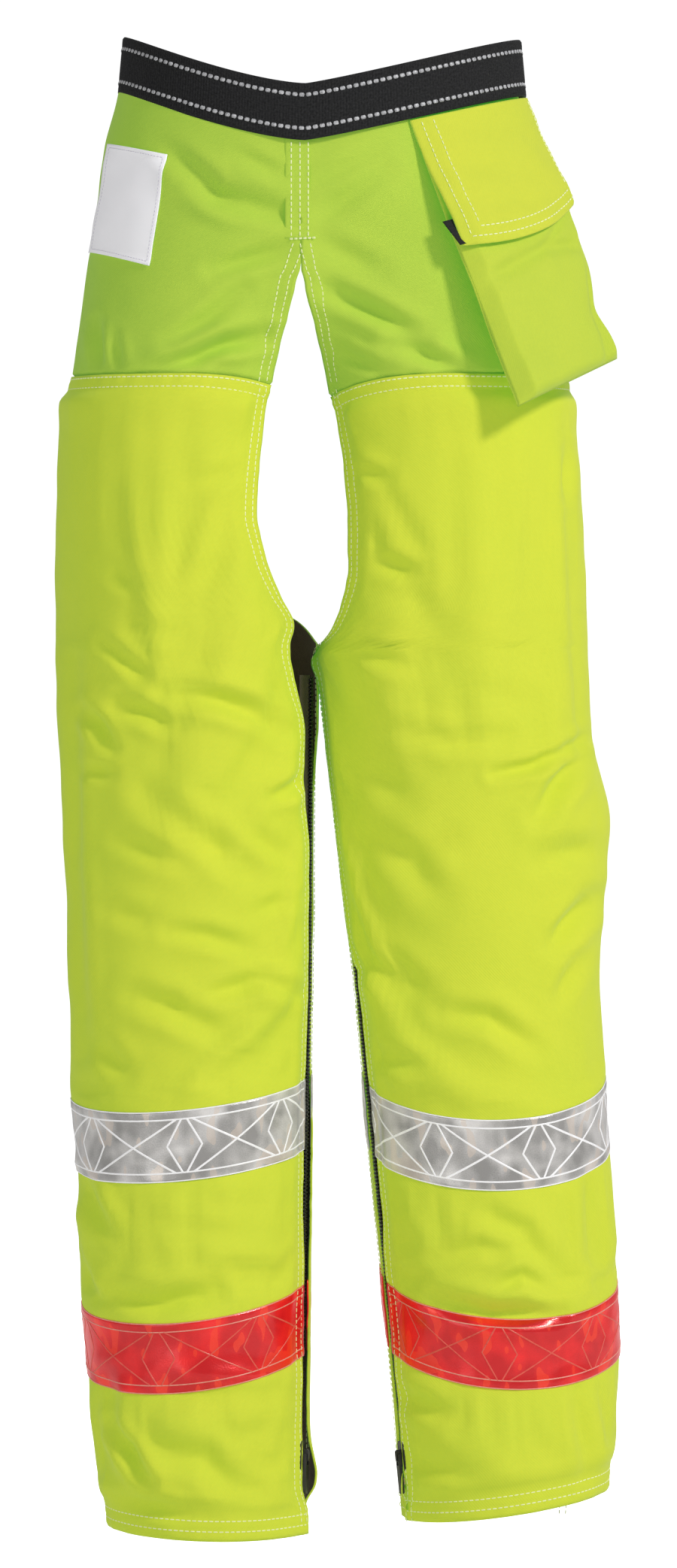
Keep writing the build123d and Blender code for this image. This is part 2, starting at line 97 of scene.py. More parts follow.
# ---- the legs -----------------------------------------------------------------------------
OUTER = {
    "right": track([
        (40, -136), (-22, -146), (-54, -154.5), (-130, -165), (-220, -178), (-236, -182), (-290, -187),
        (-410, -187.5), (-560, -182), (-690, -177.5), (-800, -172), (-900, -167), (-980, -160),
        (-1050, -152.5),
    ]),
    "left": track([
        (40, 136), (-22, 140), (-54, 146.5), (-130, 160), (-226, 174.5), (-290, 181.5),
        (-355, 184.5), (-410, 187),
        (-480, 191), (-533, 203.5), (-575, 199.5), (-630, 197), (-700, 199), (-760, 201), (-830, 206.5),
        (-890, 210), (-945, 207), (-1005, 205), (-1050, 202),
    ]),
}  # fmt: skip
INNER = {
    "right": track([
        (40, 138), (-20, 136), (-60, 118), (-130, 58), (-226, -4), (-300, -5), (-410, -5), (-560, -6),
        (-640, -6.5), (-800, -8), (-900, -9), (-1050, -10),
    ]),
    "left": track([
        (40, -138), (-20, -136), (-60, -123), (-130, -72), (-226, -10), (-300, -7), (-410, -4), (-480, 3),
        (-560, 12), (-640, 22), (-800, 36), (-900, 45), (-1050, 58),
    ]),
}  # fmt: skip
HALF_DEPTH = track([
    (40, 97), (-60, 97), (-130, 93), (-226, 87), (-410, 84), (-560, 78), (-640, 76), (-900, 73), (-1050, 70),
])  # fmt: skip
# Inner edge of the cloth above the full wrap: height and X.
INNER_EDGE = {
    "right": track([
        (60, -15), (-146, -15.2), (-150, -16.5), (-166, -20.5), (-227, -35.5), (-291, -43.5),
        (-318, -44.5), (-340, -40),
        (-356, -35.5), (-374, -27.6), (-395, -18), (-412, -21), (-431, -18), (-474, -11),
        (-520, -12), (-580, -9),
    ]),
    "left": track([
        (60, -14.8), (-146, -14.8), (-150, -13.6), (-166, -10), (-232, 5), (-278, 13),
        (-318, 16.5), (-356, 17), (-376, 13),
        (-398, 5), (-418, -7), (-433, -4), (-482, 4), (-560, 13),
    ]),
}  # fmt: skip
EDGE_TO_ZIP = {"right": (-500, -560), "left": (-408, -440)}  # heights where the edge joins the zip
SEAM_X = -15.0
KNEE_Z, ZIP_TOP, ZIP_END = -630.0, -430.0, -1000.0
REAR = -150.0  # side seam between the cover and the back panel
REAR_WAIST = -125.0
BACK_TOP = -408.0
ZIP_GAP = 6.8  # from the middle of the zip to the cloth at each side, beside the closed slider
BACK_GAP = 5.6  # and to the back panel along the rest of the zip
HEM = {"right": (-1041.0, -2.0, 7.0), "left": (-1023.5, -10.2, 6.8)}
BANDS = {
    ("right", "silver"): (-761.0, 9.6, 15.5), ("left", "silver"): (-768.5, 1.2, 30.6),
    ("right", "red"): (-910.0, 10.3, 21.0), ("left", "red"): (-908.5, 4.5, 29.5),
}  # fmt: skip
BAND_WIDTH = 50.0
EDGE_ROWS = (4.0, 9.5)  # stitch rows of the cover, from its inner edge


def tube(side, z):
    outer, inner = OUTER[side](z), INNER[side](z)
    return (outer + inner) / 2, np.abs(outer - inner) / 2, HALF_DEPTH(z)


def angle_of_x(side, x, z):
    middle, half_width, _ = tube(side, z)
    return np.degrees(np.arcsin(np.clip(INWARD[side] * (x - middle) / half_width, -1, 1)))


def zip_angle(z):
    return np.where(z < KNEE_Z, mix(80.0, 68.0, (z - KNEE_Z) / (ZIP_END - KNEE_Z)), 80.0)


def arc_angle(z, length):
    """Degrees that a length round the leg takes at a height."""
    return np.degrees(length / HALF_DEPTH(z))


def overlap(side, z):
    """Share by which the left cover's edge lies over its zip, above the slider's travel."""
    return ease((z + 642) / 24) if side == "left" else 0 * z


def cover_gap(side, z):
    """From the middle of the zip to the cover's edge: close beside the chain, and over it at the hem."""
    lower = ease((-800 - z) / 60)
    return 3.4 - 9.9 * overlap(side, z) - 2.0 * lower - 7.0 * ease((-1004 - z) / 20)


def edge_rise(side, z):
    """The cover's edge lifts where it lies over the teeth or beside the slider."""
    return 2.0 * ease((3.4 - cover_gap(side, z)) / 2.2) + 1.0 * np.exp(-(((z + 984) / 20) ** 4))


def cover_edge(side, z, inset=0.0):
    top, bottom = EDGE_TO_ZIP[side]
    at_zip = zip_angle(z) - arc_angle(z, cover_gap(side, z))
    free = angle_of_x(side, INNER_EDGE[side](z), z)
    return mix(free, at_zip, ease((top - z) / (top - bottom))) - arc_angle(z, inset)


def back_edge(z, inset=0.0):
    open_at = np.exp(-(((z + 984) / 24) ** 4))
    return zip_angle(z) + arc_angle(z, BACK_GAP + (ZIP_GAP - BACK_GAP) * open_at + inset)


def rear_edge(z):
    return mix(REAR, REAR_WAIST, ease((z + 226) / 200))


def ring(shape, angle):
    """Height of a band or hem; it rises from the front to the sides and less from there to the back."""
    front, to_inner, to_back = shape
    r = np.radians(angle)
    rise = 1 - np.cos(r)
    flatter = 0.6 * np.maximum(0, rise - 1) * (np.abs(to_back) > 12)
    return front + to_inner * np.sin(r) + to_back * (rise - flatter)


def seam_z(angle):
    """Height of the seam between the hip panel and the leg cover; it dips towards the inner edge."""
    return -218.5 - 0.0038 * np.maximum(0, angle + 5) ** 2


def on_leg(side, angle, z, lift=0.0):
    middle, half_width, half_depth = tube(side, z)
    r = np.radians(angle)
    x = middle + INWARD[side] * half_width * np.sin(r)
    y = -half_depth * np.cos(r)
    nx, ny = INWARD[side] * np.sin(r) / half_width, -np.cos(r) / half_depth
    size = np.hypot(nx, ny)
    # Both sides share one flat front at the centre seam.
    near = np.exp(-(((x - SEAM_X) / 30) ** 2)) * ease((z + 226) / 80) * (np.cos(r) > 0)
    y = mix(y, -half_depth, near)
    return np.stack([x + lift * nx / size, y + lift * ny / size, z + 0 * x], axis=-1)


# Folds of the cloth as seen from the front: points (x, z), half width, depth.
FOLDS = {
    "right": [
        (((-110, -443), (-73, -448), (-50, -456), (-26, -470)), 7, 3.2),
        (((-144, -452), (-122, -458), (-103, -467)), 6, 2.2),
        (((-170, -455), (-158, -466), (-149, -481)), 5, 2.0),
        (((-156, -408), (-142, -418), (-125, -432)), 5, 1.7),
        (((-124, -514), (-92, -538), (-50, -570)), 9, 2.6),
        (((-144, -547), (-118, -556), (-88, -565)), 7, 1.2),
        (((-107, -611), (-80, -614), (-50, -623)), 6, 1.8),
        (((-134, -657), (-108, -664), (-70, -682)), 8, 2.4),
        (((-86, -659), (-62, -651), (-41, -646), (-18, -655)), 6, 2.0),
        (((-38, -517), (-24, -511), (-14, -503)), 5, 2.2),
        (((-132, -396), (-100, -402)), 7, 1.1),
        (((-154, -356), (-120, -369)), 7, 0.9),
        (((-95, -374), (-67, -346)), 7, 0.9),
        (((-90, -296), (-60, -287)), 6, 0.9),
        (((-54, -536), (-24, -560)), 6, 1.3),
        (((-170, -497), (-150, -500)), 5, 1.2),
        (((-176, -420), (-178, -560), (-170, -700)), 6, 1.6),
        (((-150, -598), (-120, -603)), 7, 1.1),
        (((-160, -690), (-140, -712)), 7, 1.4),
        (((-44, -596), (-18, -588)), 5, 1.0),
        (((-170, -785), (-160, -805), (-146, -826)), 6, 2.4),
        (((-118, -815), (-78, -822), (-40, -823)), 9, 1.5),
        (((-90, -803), (-36, -806)), 8, 1.0),
        (((-144, -868), (-115, -872), (-76, -866)), 8, 2.6),
        (((-172, -838), (-162, -872)), 6, 2.0),
        (((-148, -959), (-136, -975), (-119, -1000)), 5, 3.0),
        (((-128, -970), (-84, -982), (-55, -1010)), 9, 2.4),
        (((-112, -938), (-31, -939)), 8, 1.6),
        (((-134, -1013), (-98, -1020)), 6, 1.5),
        (((-152, -925), (-146, -960)), 6, 1.4),
    ],
    "left": [
        (((26, -287), (47, -291)), 5, 1.3),
        (((36, -351), (72, -358)), 6, 1.6),
        (((26, -415), (66, -424)), 6, 1.8),
        (((48, -468), (90, -477), (130, -474)), 7, 1.8),
        (((122, -500), (150, -494), (172, -483), (192, -472)), 4.5, 2.8),
        (((153, -530), (165, -512), (182, -488)), 7, 3.2),
        (((158, -561), (176, -555), (196, -554)), 9, 2.4),
        (((164, -620), (178, -604), (194, -588)), 7, 3.4),
        (((168, -660), (182, -632)), 6, 1.6),
        (((84, -668), (118, -672), (152, -694)), 7, 2.2),
        (((26, -630), (50, -640), (72, -656)), 9, 1.7),
        (((30, -492), (56, -518)), 10, 1.4),
        (((36, -545), (60, -562), (83, -587)), 10, 1.7),
        (((60, -560), (90, -545)), 8, 0.9),
        (((172, -306), (174, -270)), 4, 1.6),
        (((100, -440), (140, -446)), 8, 0.9),
        (((45, -700), (75, -706)), 7, 1.2),
        (((105, -806), (140, -822), (167, -857)), 8, 2.4),
        (((84, -841), (112, -832), (145, -838)), 6, 1.6),
        (((118, -866), (140, -852), (160, -866)), 5, 1.6),
        (((84, -872), (120, -879), (164, -880)), 7, 3.0),
        (((52, -938), (98, -952)), 7, 1.6),
        (((180, -936), (186, -995)), 6, 1.8),
        (((60, -985), (110, -992)), 9, 0.9),
        (((188, -780), (192, -840)), 6, 1.4),
    ],
}  # fmt: skip
PANEL_FOLDS = {
    "right": [
        (((-114, -54), (-98, -70), (-73, -92), (-22, -105)), 7, 2.2),
        (((-100, -86), (-60, -104), (-24, -110)), 6, 1.2),
        (((-124, -220), (-94, -209), (-68, -198), (-40, -192)), 6, 3.8),
        (((-76, -146), (-50, -138), (-24, -131)), 6, 1.8),
        (((-106, -197), (-80, -180), (-56, -160)), 6, 1.5),
        (((-159, -180), (-156, -215)), 4, 1.6),
        (((-147, -190), (-143, -216)), 4, 1.2),
        (((-90, -214), (-60, -216)), 5, 1.4),
        (((-60, -64), (-30, -78)), 5, 0.9),
    ],
    "left": [
        (((-6, -110), (16, -96), (44, -76)), 7, 1.2),
        (((4, -160), (34, -174), (72, -194)), 6, 2.6),
        (((50, -196), (72, -206), (100, -220)), 6, 2.8),
        (((10, -202), (45, -220)), 5, 2.0),
        (((0, -128), (40, -146)), 7, 1.2),
        (((0, -84), (40, -62)), 6, 0.9),
    ],
}  # fmt: skip


FOLD_DEPTH = 2.5


def fold_lift(folds, x, z):
    """Valleys with softly raised banks along each fold's line."""
    total = np.zeros_like(x)
    for points, half, depth in folds:
        p = np.array(points, float)
        best = np.full(x.shape, 1e9)
        along = np.zeros_like(x)
        lengths = np.hypot(*np.diff(p, axis=0).T)
        starts = np.concatenate([[0], np.cumsum(lengths)])
        for k in range(len(p) - 1):
            d = p[k + 1] - p[k]
            t = np.clip(((x - p[k, 0]) * d[0] + (z - p[k, 1]) * d[1]) / (d @ d), 0, 1)
            away = np.hypot(x - p[k, 0] - t * d[0], z - p[k, 1] - t * d[1])
            closer = away < best
            best = np.where(closer, away, best)
            along = np.where(closer, (starts[k] + t * lengths[k]) / starts[-1], along)
        q = best / half
        strength = 0.25 + 0.75 * np.sin(math.pi * np.clip(along, 0.02, 0.98)) ** 0.8
        total += FOLD_DEPTH * depth * strength * (0.5 * np.exp(-((q - 1.9) ** 2)) - np.exp(-(q**2)))
    return total


def pucker(along, away, seed, reach=9.0, size=7.0):
    """Small gathers beside a stitched seam."""
    return 0.55 * lumps(along, away * 0.35, size, seed) * np.exp(-((away / reach) ** 2))


def from_edges(side, angle, z):
    """Distances along the leg cover from its inner edge, its side seam, its top seam and its hem."""
    edge = np.maximum(0, np.radians(cover_edge(side, z) - angle) * HALF_DEPTH(z))
    rear = np.maximum(0, np.radians(angle - rear_edge(z)) * HALF_DEPTH(z))
    below = np.maximum(0, seam_z(angle) - z)
    hem = np.maximum(0, z - ring(HEM[side], angle))
    return edge, rear, below, hem


def cover_lift(side, angle, z):
    base = on_leg(side, angle, z)
    x = base[..., 0]
    front = ease(np.cos(np.radians(angle)) * 2.5 + 0.3)
    arc = np.radians(angle) * HALF_DEPTH(z)
    edge, rear, below, hem = from_edges(side, angle, z)
    seed = 3 if side == "right" else 9
    puff = ease((edge - 9) / 12) * ease((below - 9) / 9) * ease((hem - 17) / 14) * ease((rear - 4) / 10)
    lift = 2.6 * puff - 1.0 + 1.3 * (1 - ease((below - 3) / 10))
    lift += 2.4 * np.exp(-(((below - 20) / 13) ** 2)) * ease((edge - 9) / 14)
    for (name, colour), shape in BANDS.items():
        if name == side:  # the cloth is drawn in under each tape and stands out between them
            lift -= 1.3 * np.exp(-(((z - ring(shape, angle)) / 24) ** 4))
    near = np.exp(-((edge / 12) ** 2)) * ease((-425 - z) / 15)
    lift += (edge_rise(side, z) + zip_rise(side, z) + 0.6) * near
    if side == "right":  # the lower corner stands off the back panel
        lift += 3.6 * ease((-988 - z) / 45) * np.exp(-((edge / 22) ** 2))
    if side == "left":  # the free corner below the notch stands off towards the other leg
        lift += 7.0 * np.exp(-(((z + 421) / 12) ** 2)) * np.exp(-((edge / 10) ** 2))
    lift += fold_lift(FOLDS[side], x, z) * front * ease(edge / 14 + 0.25)
    lift += (1.1 * lumps(arc, z * 0.8, 46, seed) + 0.5 * lumps(arc, z, 19, seed + 1)) * (0.15 + 0.85 * puff)
    lift += 1.6 * lumps(arc * 1.6, z, 60, seed + 5) * (1 - front)
    by_zip = 1 - 0.6 * ease((-425 - z) / 15)
    lift += pucker(z, edge, seed + 2) * by_zip + pucker(arc, below, seed + 3) + pucker(arc, hem, seed + 4)
    for row in EDGE_ROWS:
        lift -= 0.45 * np.exp(-(((edge - row) / 1.3) ** 2))
    for row in (2.0, 9.0):
        lift -= 0.45 * np.exp(-(((below - row) / 1.3) ** 2))
    for row in (7.0, 14.5):
        lift -= 0.4 * np.exp(-(((hem - row) / 1.3) ** 2))
    return lift


def panel_lift(side, angle, z):
    base = on_leg(side, angle, z)
    x = base[..., 0]
    arc = np.radians(angle) * HALF_DEPTH(z)
    edge_angle = angle_of_x(side, INNER_EDGE[side](z), z)
    edge = np.maximum(0, np.radians(edge_angle - angle) * HALF_DEPTH(z))
    above = np.maximum(0, z - seam_z(angle))
    seed = 21 if side == "right" else 27
    calm = ease((z + 228) / 26) * ease((-38 - z) / 40)
    front = ease(np.cos(np.radians(angle)) * 2.5 + 0.3)
    lift = fold_lift(PANEL_FOLDS[side], x, z) * ease(edge / 12 + 0.15) * front
    lift = lift + 0.8 * lumps(arc, z, 38, seed) + 0.3 * lumps(arc, z, 15, seed + 1)
    lift = lift * calm - 0.2 + pucker(z, edge, seed + 2) * calm + pucker(arc, above, seed + 3)
    for row in (5.0, 11.5):
        lift = lift - 0.35 * np.exp(-(((edge - row) / 1.2) ** 2)) * ease((-130 - z) / 20)
    return lift


def back_lift(side, angle, z):
    arc = np.radians(angle) * HALF_DEPTH(z)
    seed = 41 if side == "right" else 47
    edge = np.radians(angle - (-360 + back_edge(z))) * HALF_DEPTH(z)
    hem = np.maximum(0, z - ring(HEM[side], angle))
    lift = 1.5 * lumps(arc, z * 0.7, 60, seed) + 0.7 * lumps(arc, z, 24, seed + 1)
    lift = lift * ease(edge / 20) * ease((BACK_TOP + 30 - z) / 40 + 0.2)
    lift -= 2.0 * np.exp(-((((z + 615) - 0.15 * arc) / 10) ** 2)) * ease(edge / 40)
    lift -= 1.6 * np.exp(-((((z + 655) + 0.1 * arc) / 9) ** 2)) * ease(edge / 40)
    lift = lift + (0.5 + zip_rise(side, z)) * np.exp(-((edge / 12) ** 2)) * ease((-425 - z) / 15)
    lift = lift - 4.5 * ease((-1002 - z) / 16) * np.exp(-((edge / 20) ** 2))
    return lift + 0.5 * pucker(z, np.maximum(edge, 0), seed + 2) + pucker(arc, hem, seed + 3)


def zip_rise(side, z):
    """How far the straight chain below the knee stands off the leg's own curve."""
    z = np.asarray(z, float)
    surface = beside_zip(side, z, 0, 1.9)
    normal = beside_zip(side, z, 0, 0.9) - surface
    return ((zip_line(side, z, 0, 1.9) - surface) * normal).sum(axis=-1)


LIFTS = {"cover": cover_lift, "panel": panel_lift, "back": back_lift}


def on_layer(side, layer, angle, z, lift=0.0):
    angle, z = np.broadcast_arrays(np.asarray(angle, float), np.asarray(z, float))
    return on_leg(side, angle, z, LIFTS[layer](side, angle, z) + lift)


# ---- meshes -------------------------------------------------------------------------------
def make_object(name, points, faces, uvs=None, materials=(), face_materials=None):
    mesh = bpy.data.meshes.new(name)
    mesh.from_pydata((np.asarray(points) * MM).tolist(), [], [list(map(int, f)) for f in faces])
    if uvs is not None:
        loops = np.zeros(len(mesh.loops), int)
        mesh.loops.foreach_get("vertex_index", loops)
        layer = mesh.uv_layers.new(name="UVMap")
        layer.data.foreach_set("uv", (np.asarray(uvs)[loops] * MM * 10).astype(np.float32).ravel())
    for material in materials:
        mesh.materials.append(material)
    if face_materials is not None:
        mesh.polygons.foreach_set("material_index", np.asarray(face_materials, np.int32))
    mesh.polygons.foreach_set("use_smooth", np.ones(len(mesh.polygons), bool))
    mesh.update()
    piece = bpy.data.objects.new(name, mesh)
    bpy.context.scene.collection.objects.link(piece)
    return piece


def grid_faces(rows, columns, start=0):
    index = start + np.arange(rows * columns).reshape(rows, columns)
    a, b, c, d = index[:-1, :-1], index[:-1, 1:], index[1:, 1:], index[1:, :-1]
    return np.stack([a, b, c, d], axis=-1).reshape(-1, 4)


def grid_uv(points):
    """Millimetres across and down a grid, so that a weave keeps its scale."""
    across = np.linalg.norm(np.diff(points, axis=1), axis=-1)
    across = np.concatenate([np.zeros((len(points), 1)), np.cumsum(across, axis=1)], axis=1)
    across = across - across[:, -1:] / 2
    down = np.linalg.norm(np.diff(points, axis=0), axis=-1).mean(axis=1)
    down = np.concatenate([[0], np.cumsum(down)])[:, None] + 0 * across
    return np.stack([across, down], axis=-1).reshape(-1, 2)


def sheet_object(name, outer, inner, materials):
    """A closed sheet between two grids of points, with a rim all round. The last material is the inside."""
    rows, columns = outer.shape[:2]
    count = rows * columns
    front, back = grid_faces(rows, columns), grid_faces(rows, columns, count)[:, ::-1]
    loop = np.concatenate([
        np.arange(columns), np.arange(1, rows) * columns + columns - 1,
        (rows - 1) * columns + np.arange(columns - 2, -1, -1), np.arange(rows - 2, 0, -1) * columns,
    ])  # fmt: skip
    nxt = np.roll(loop, -1)
    rim = np.stack([loop, loop + count, nxt + count, nxt], axis=-1)
    faces = np.concatenate([front, back, rim])
    points = np.concatenate([outer.reshape(-1, 3), inner.reshape(-1, 3)])
    corner = points[front[len(front) // 2]]
    normal = np.cross(corner[1] - corner[0], corner[3] - corner[0])
    probe = front[len(front) // 2][0]
    outward = outer.reshape(-1, 3)[probe] - inner.reshape(-1, 3)[probe]
    if normal @ outward < 0:
        faces = faces[:, ::-1]
    uv = grid_uv(outer)
    inside = len(materials) - 1
    kinds = np.concatenate([np.zeros(len(front)), np.full(len(back), inside), np.zeros(len(rim))])
    return make_object(name, points, faces, np.concatenate([uv, uv]), materials, kinds)


def beads(centres, alongs, ups, length, width, height):
    """Many small rounded bars, one at each centre. Returns points and faces."""
    along = alongs / np.linalg.norm(alongs, axis=1, keepdims=True)
    side = np.cross(ups, along)
    side /= np.linalg.norm(side, axis=1, keepdims=True)
    up = np.cross(along, side)
    stations = ((-0.5, 0.35), (-0.34, 0.95), (0.34, 0.95), (0.5, 0.35))
    corners = ((-0.5, 0.0), (-0.3, 0.5), (0.3, 0.5), (0.5, 0.0), (0.0, -0.5))
    rings = []
    for s, k in stations:
        for a, b in corners:
            rings.append(centres + along * s * length + side * (a * width * k) + up * (b * height * k))
    points = np.stack(rings, axis=1)
    n = len(corners)
    faces = []
    for k in range(len(stations) - 1):
        for c in range(n):
            d = (c + 1) % n
            faces.append((k * n + c, k * n + d, (k + 1) * n + d, (k + 1) * n + c))
    ends = [tuple(range(n - 1, -1, -1)), tuple((len(stations) - 1) * n + c for c in range(n))]
    starts = np.arange(len(centres)) * len(stations) * n
    quads = (starts[:, None, None] + np.array(faces)[None]).reshape(-1, 4).tolist()
    caps = (starts[:, None, None] + np.array(ends)[None]).reshape(-1, n).tolist()
    return points.reshape(-1, 3), quads + caps


def along_line(points, pitch):
    """Places every pitch along a line of points: centres and directions."""
    steps = np.linalg.norm(np.diff(points, axis=0), axis=1)
    total = np.concatenate([[0], np.cumsum(steps)])
    count = max(1, int(total[-1] / pitch))
    at = (np.arange(count) + 0.5) * total[-1] / count
    centre = np.stack([np.interp(at, total, points[:, k]) for k in range(3)], axis=1)
    ahead = np.stack([np.interp(at + 0.8, total, points[:, k]) for k in range(3)], axis=1)
    behind = np.stack([np.interp(at - 0.8, total, points[:, k]) for k in range(3)], axis=1)
    return centre, ahead - behind


class Stitches:
    """Collects stitch rows and makes them one piece."""

    def __init__(self, name):
        self.name, self.points, self.faces, self.count = name, [], [], 0

    def row(self, line, normals_at, pitch=4.0, length=3.0, width=0.95):
        centre, along = along_line(line, pitch)
        ups = normals_at(centre)
        points, faces = beads(centre, along, ups, length, width, 0.5)
        self.points.append(points)
        self.faces += [[i + self.count for i in f] for f in faces]
        self.count += len(points)

    def make(self, material):
        piece = make_object(self.name, np.concatenate(self.points), self.faces, None, [material])
        return piece


# ---- materials ----------------------------------------------------------------------------
class Nodes:
    """Short hand for a material's node tree."""

    def __init__(self, name):
        self.material = bpy.data.materials.new(name)
        self.material.use_nodes = True
        self.tree = self.material.node_tree
        self.shader = self.tree.nodes["Principled BSDF"]

    def add(self, kind, inputs=None, **settings):
        node = self.tree.nodes.new(kind)
        for key, value in settings.items():
            setattr(node, key, value)
        for key, value in (inputs or {}).items():
            if isinstance(value, bpy.types.NodeSocket):
                self.tree.links.new(value, node.inputs[key])
            else:
                node.inputs[key].default_value = value
        return node

    def math(self, operation, a, b=0.0, c=0.0):
        return self.add("ShaderNodeMath", {0: a, 1: b, 2: c}, operation=operation).outputs[0]

    def link(self, value, socket):
        self.tree.links.new(value, self.shader.inputs[socket])

    def set(self, **values):
        for key, value in values.items():
            self.shader.inputs[key.replace("_", " ")].default_value = value
        return self

    def uv(self):
        return self.add("ShaderNodeUVMap", uv_map="UVMap").outputs[0]

    def ramp(self, value, low, high, dark, light):
        node = self.add("ShaderNodeMapRange", {0: value, 1: low, 2: high})
        return self.add(
            "ShaderNodeMix", {0: node.outputs[0], 6: dark, 7: light}, data_type="RGBA"
        ).outputs[2]


def rgb(r, g, b):
    return (r, g, b, 1.0)


def relief(n, strength, distance, height):
    bump = n.add("ShaderNodeBump", {"Strength": strength, "Distance": distance, "Height": height})
    n.link(bump.outputs[0], "Normal")


def cloth(name, base, deep, glow, weave=1.0, roughness=0.85, bump=0.25, twill=True):
    """Woven cloth: threads both ways, a slanted twill line, slubs and slight fading. UV unit: 100 mm."""
    n = Nodes(name)
    uv = n.uv()
    threads = n.add("ShaderNodeMapping", {0: uv, 3: (100 / weave, 100 / weave, 1)})
    parts = n.add("ShaderNodeSeparateXYZ", {0: threads.outputs[0]})
    x, y = parts.outputs[0], parts.outputs[1]
    warp = n.math("SINE", n.math("MULTIPLY", x, 2 * math.pi))
    weft = n.math("SINE", n.math("MULTIPLY", y, 2 * math.pi))
    line = n.math("SINE", n.math("MULTIPLY", n.math("ADD", x, y), math.pi if twill else 2 * math.pi))
    crossed = n.math("MULTIPLY", n.math("MULTIPLY", warp, weft), 0.5)
    woven = n.math("ADD", crossed, n.math("MULTIPLY", line, 0.5))
    slub = n.add("ShaderNodeTexNoise", {"Vector": uv, "Scale": 45.0, "Detail": 4.0, "Roughness": 0.6})
    cloud = n.add("ShaderNodeTexNoise", {"Vector": uv, "Scale": 1.6, "Detail": 3.0, "Roughness": 0.5})
    tone = n.math("ADD", n.math("MULTIPLY", woven, 0.10), n.math("MULTIPLY", slub.outputs[0], 0.55))
    tone = n.math("ADD", tone, n.math("MULTIPLY", cloud.outputs[0], 0.55))
    colour = n.ramp(tone, 0.25, 0.85, deep, base)
    n.link(colour, "Base Color")
    height = n.math("ADD", n.math("MULTIPLY", woven, 0.5), n.math("MULTIPLY", slub.outputs[0], 0.8))
    relief = n.add("ShaderNodeBump", {"Strength": bump, "Distance": 0.0004, "Height": height})
    n.link(relief.outputs[0], "Normal")
    rough = n.add(
        "ShaderNodeMapRange",
        {0: slub.outputs[0], 1: 0.3, 2: 0.7, 3: roughness - 0.06, 4: roughness + 0.06},
    )
    n.link(rough.outputs[0], "Roughness")
    n.set(Sheen_Weight=0.12, Sheen_Roughness=0.4, Emission_Strength=1.0, Emission_Color=glow)
    n.set(Specular_IOR_Level=0.25)
    return n.material


def webbing():
    n = Nodes("belt_webbing")
    uv = n.uv()
    cells = n.add("ShaderNodeMapping", {0: uv, 3: (90, 110, 1)})
    parts = n.add("ShaderNodeSeparateXYZ", {0: cells.outputs[0]})
    across = n.math("SINE", n.math("MULTIPLY", parts.outputs[1], 2 * math.pi))
    fuzz = n.add("ShaderNodeTexNoise", {"Vector": uv, "Scale": 60.0, "Detail": 4.0})
    height = n.math("ADD", n.math("MULTIPLY", across, 0.4), fuzz.outputs[0])
    black = n.ramp(fuzz.outputs[0], 0.3, 0.75, rgb(0.006, 0.006, 0.0065), rgb(0.026, 0.026, 0.027))
    n.link(black, "Base Color")
    relief(n, 0.5, 0.0003, height)
    n.set(Roughness=0.75, Sheen_Weight=0.06, Specular_IOR_Level=0.2)
    return n.material


def plastic(name, colour, light, roughness, grain=900.0, bump=0.15, metallic=0.0, coat=0.0):
    """Moulded plastic or enamel, with a fine grain and worn, lighter edges."""
    n = Nodes(name)
    place = n.add("ShaderNodeTexCoord").outputs["Object"]
    fine = n.add("ShaderNodeTexNoise", {"Vector": place, "Scale": grain, "Detail": 3.0})
    wear = n.add("ShaderNodeTexNoise", {"Vector": place, "Scale": grain / 8, "Detail": 5.0})
    edges = n.add("ShaderNodeNewGeometry").outputs["Pointiness"]
    worn = n.math("MULTIPLY", n.math("GREATER_THAN", edges, 0.53), wear.outputs[0])
    n.link(n.ramp(worn, 0.0, 1.0, colour, light), "Base Color")
    relief(n, bump, 0.0003, fine.outputs[0])
    rough = n.add(
        "ShaderNodeMapRange",
        {0: wear.outputs[0], 1: 0.3, 2: 0.7, 3: roughness - 0.08, 4: roughness + 0.08},
    )
    n.link(rough.outputs[0], "Roughness")
    n.set(Metallic=metallic, Coat_Weight=coat)
    return n.material


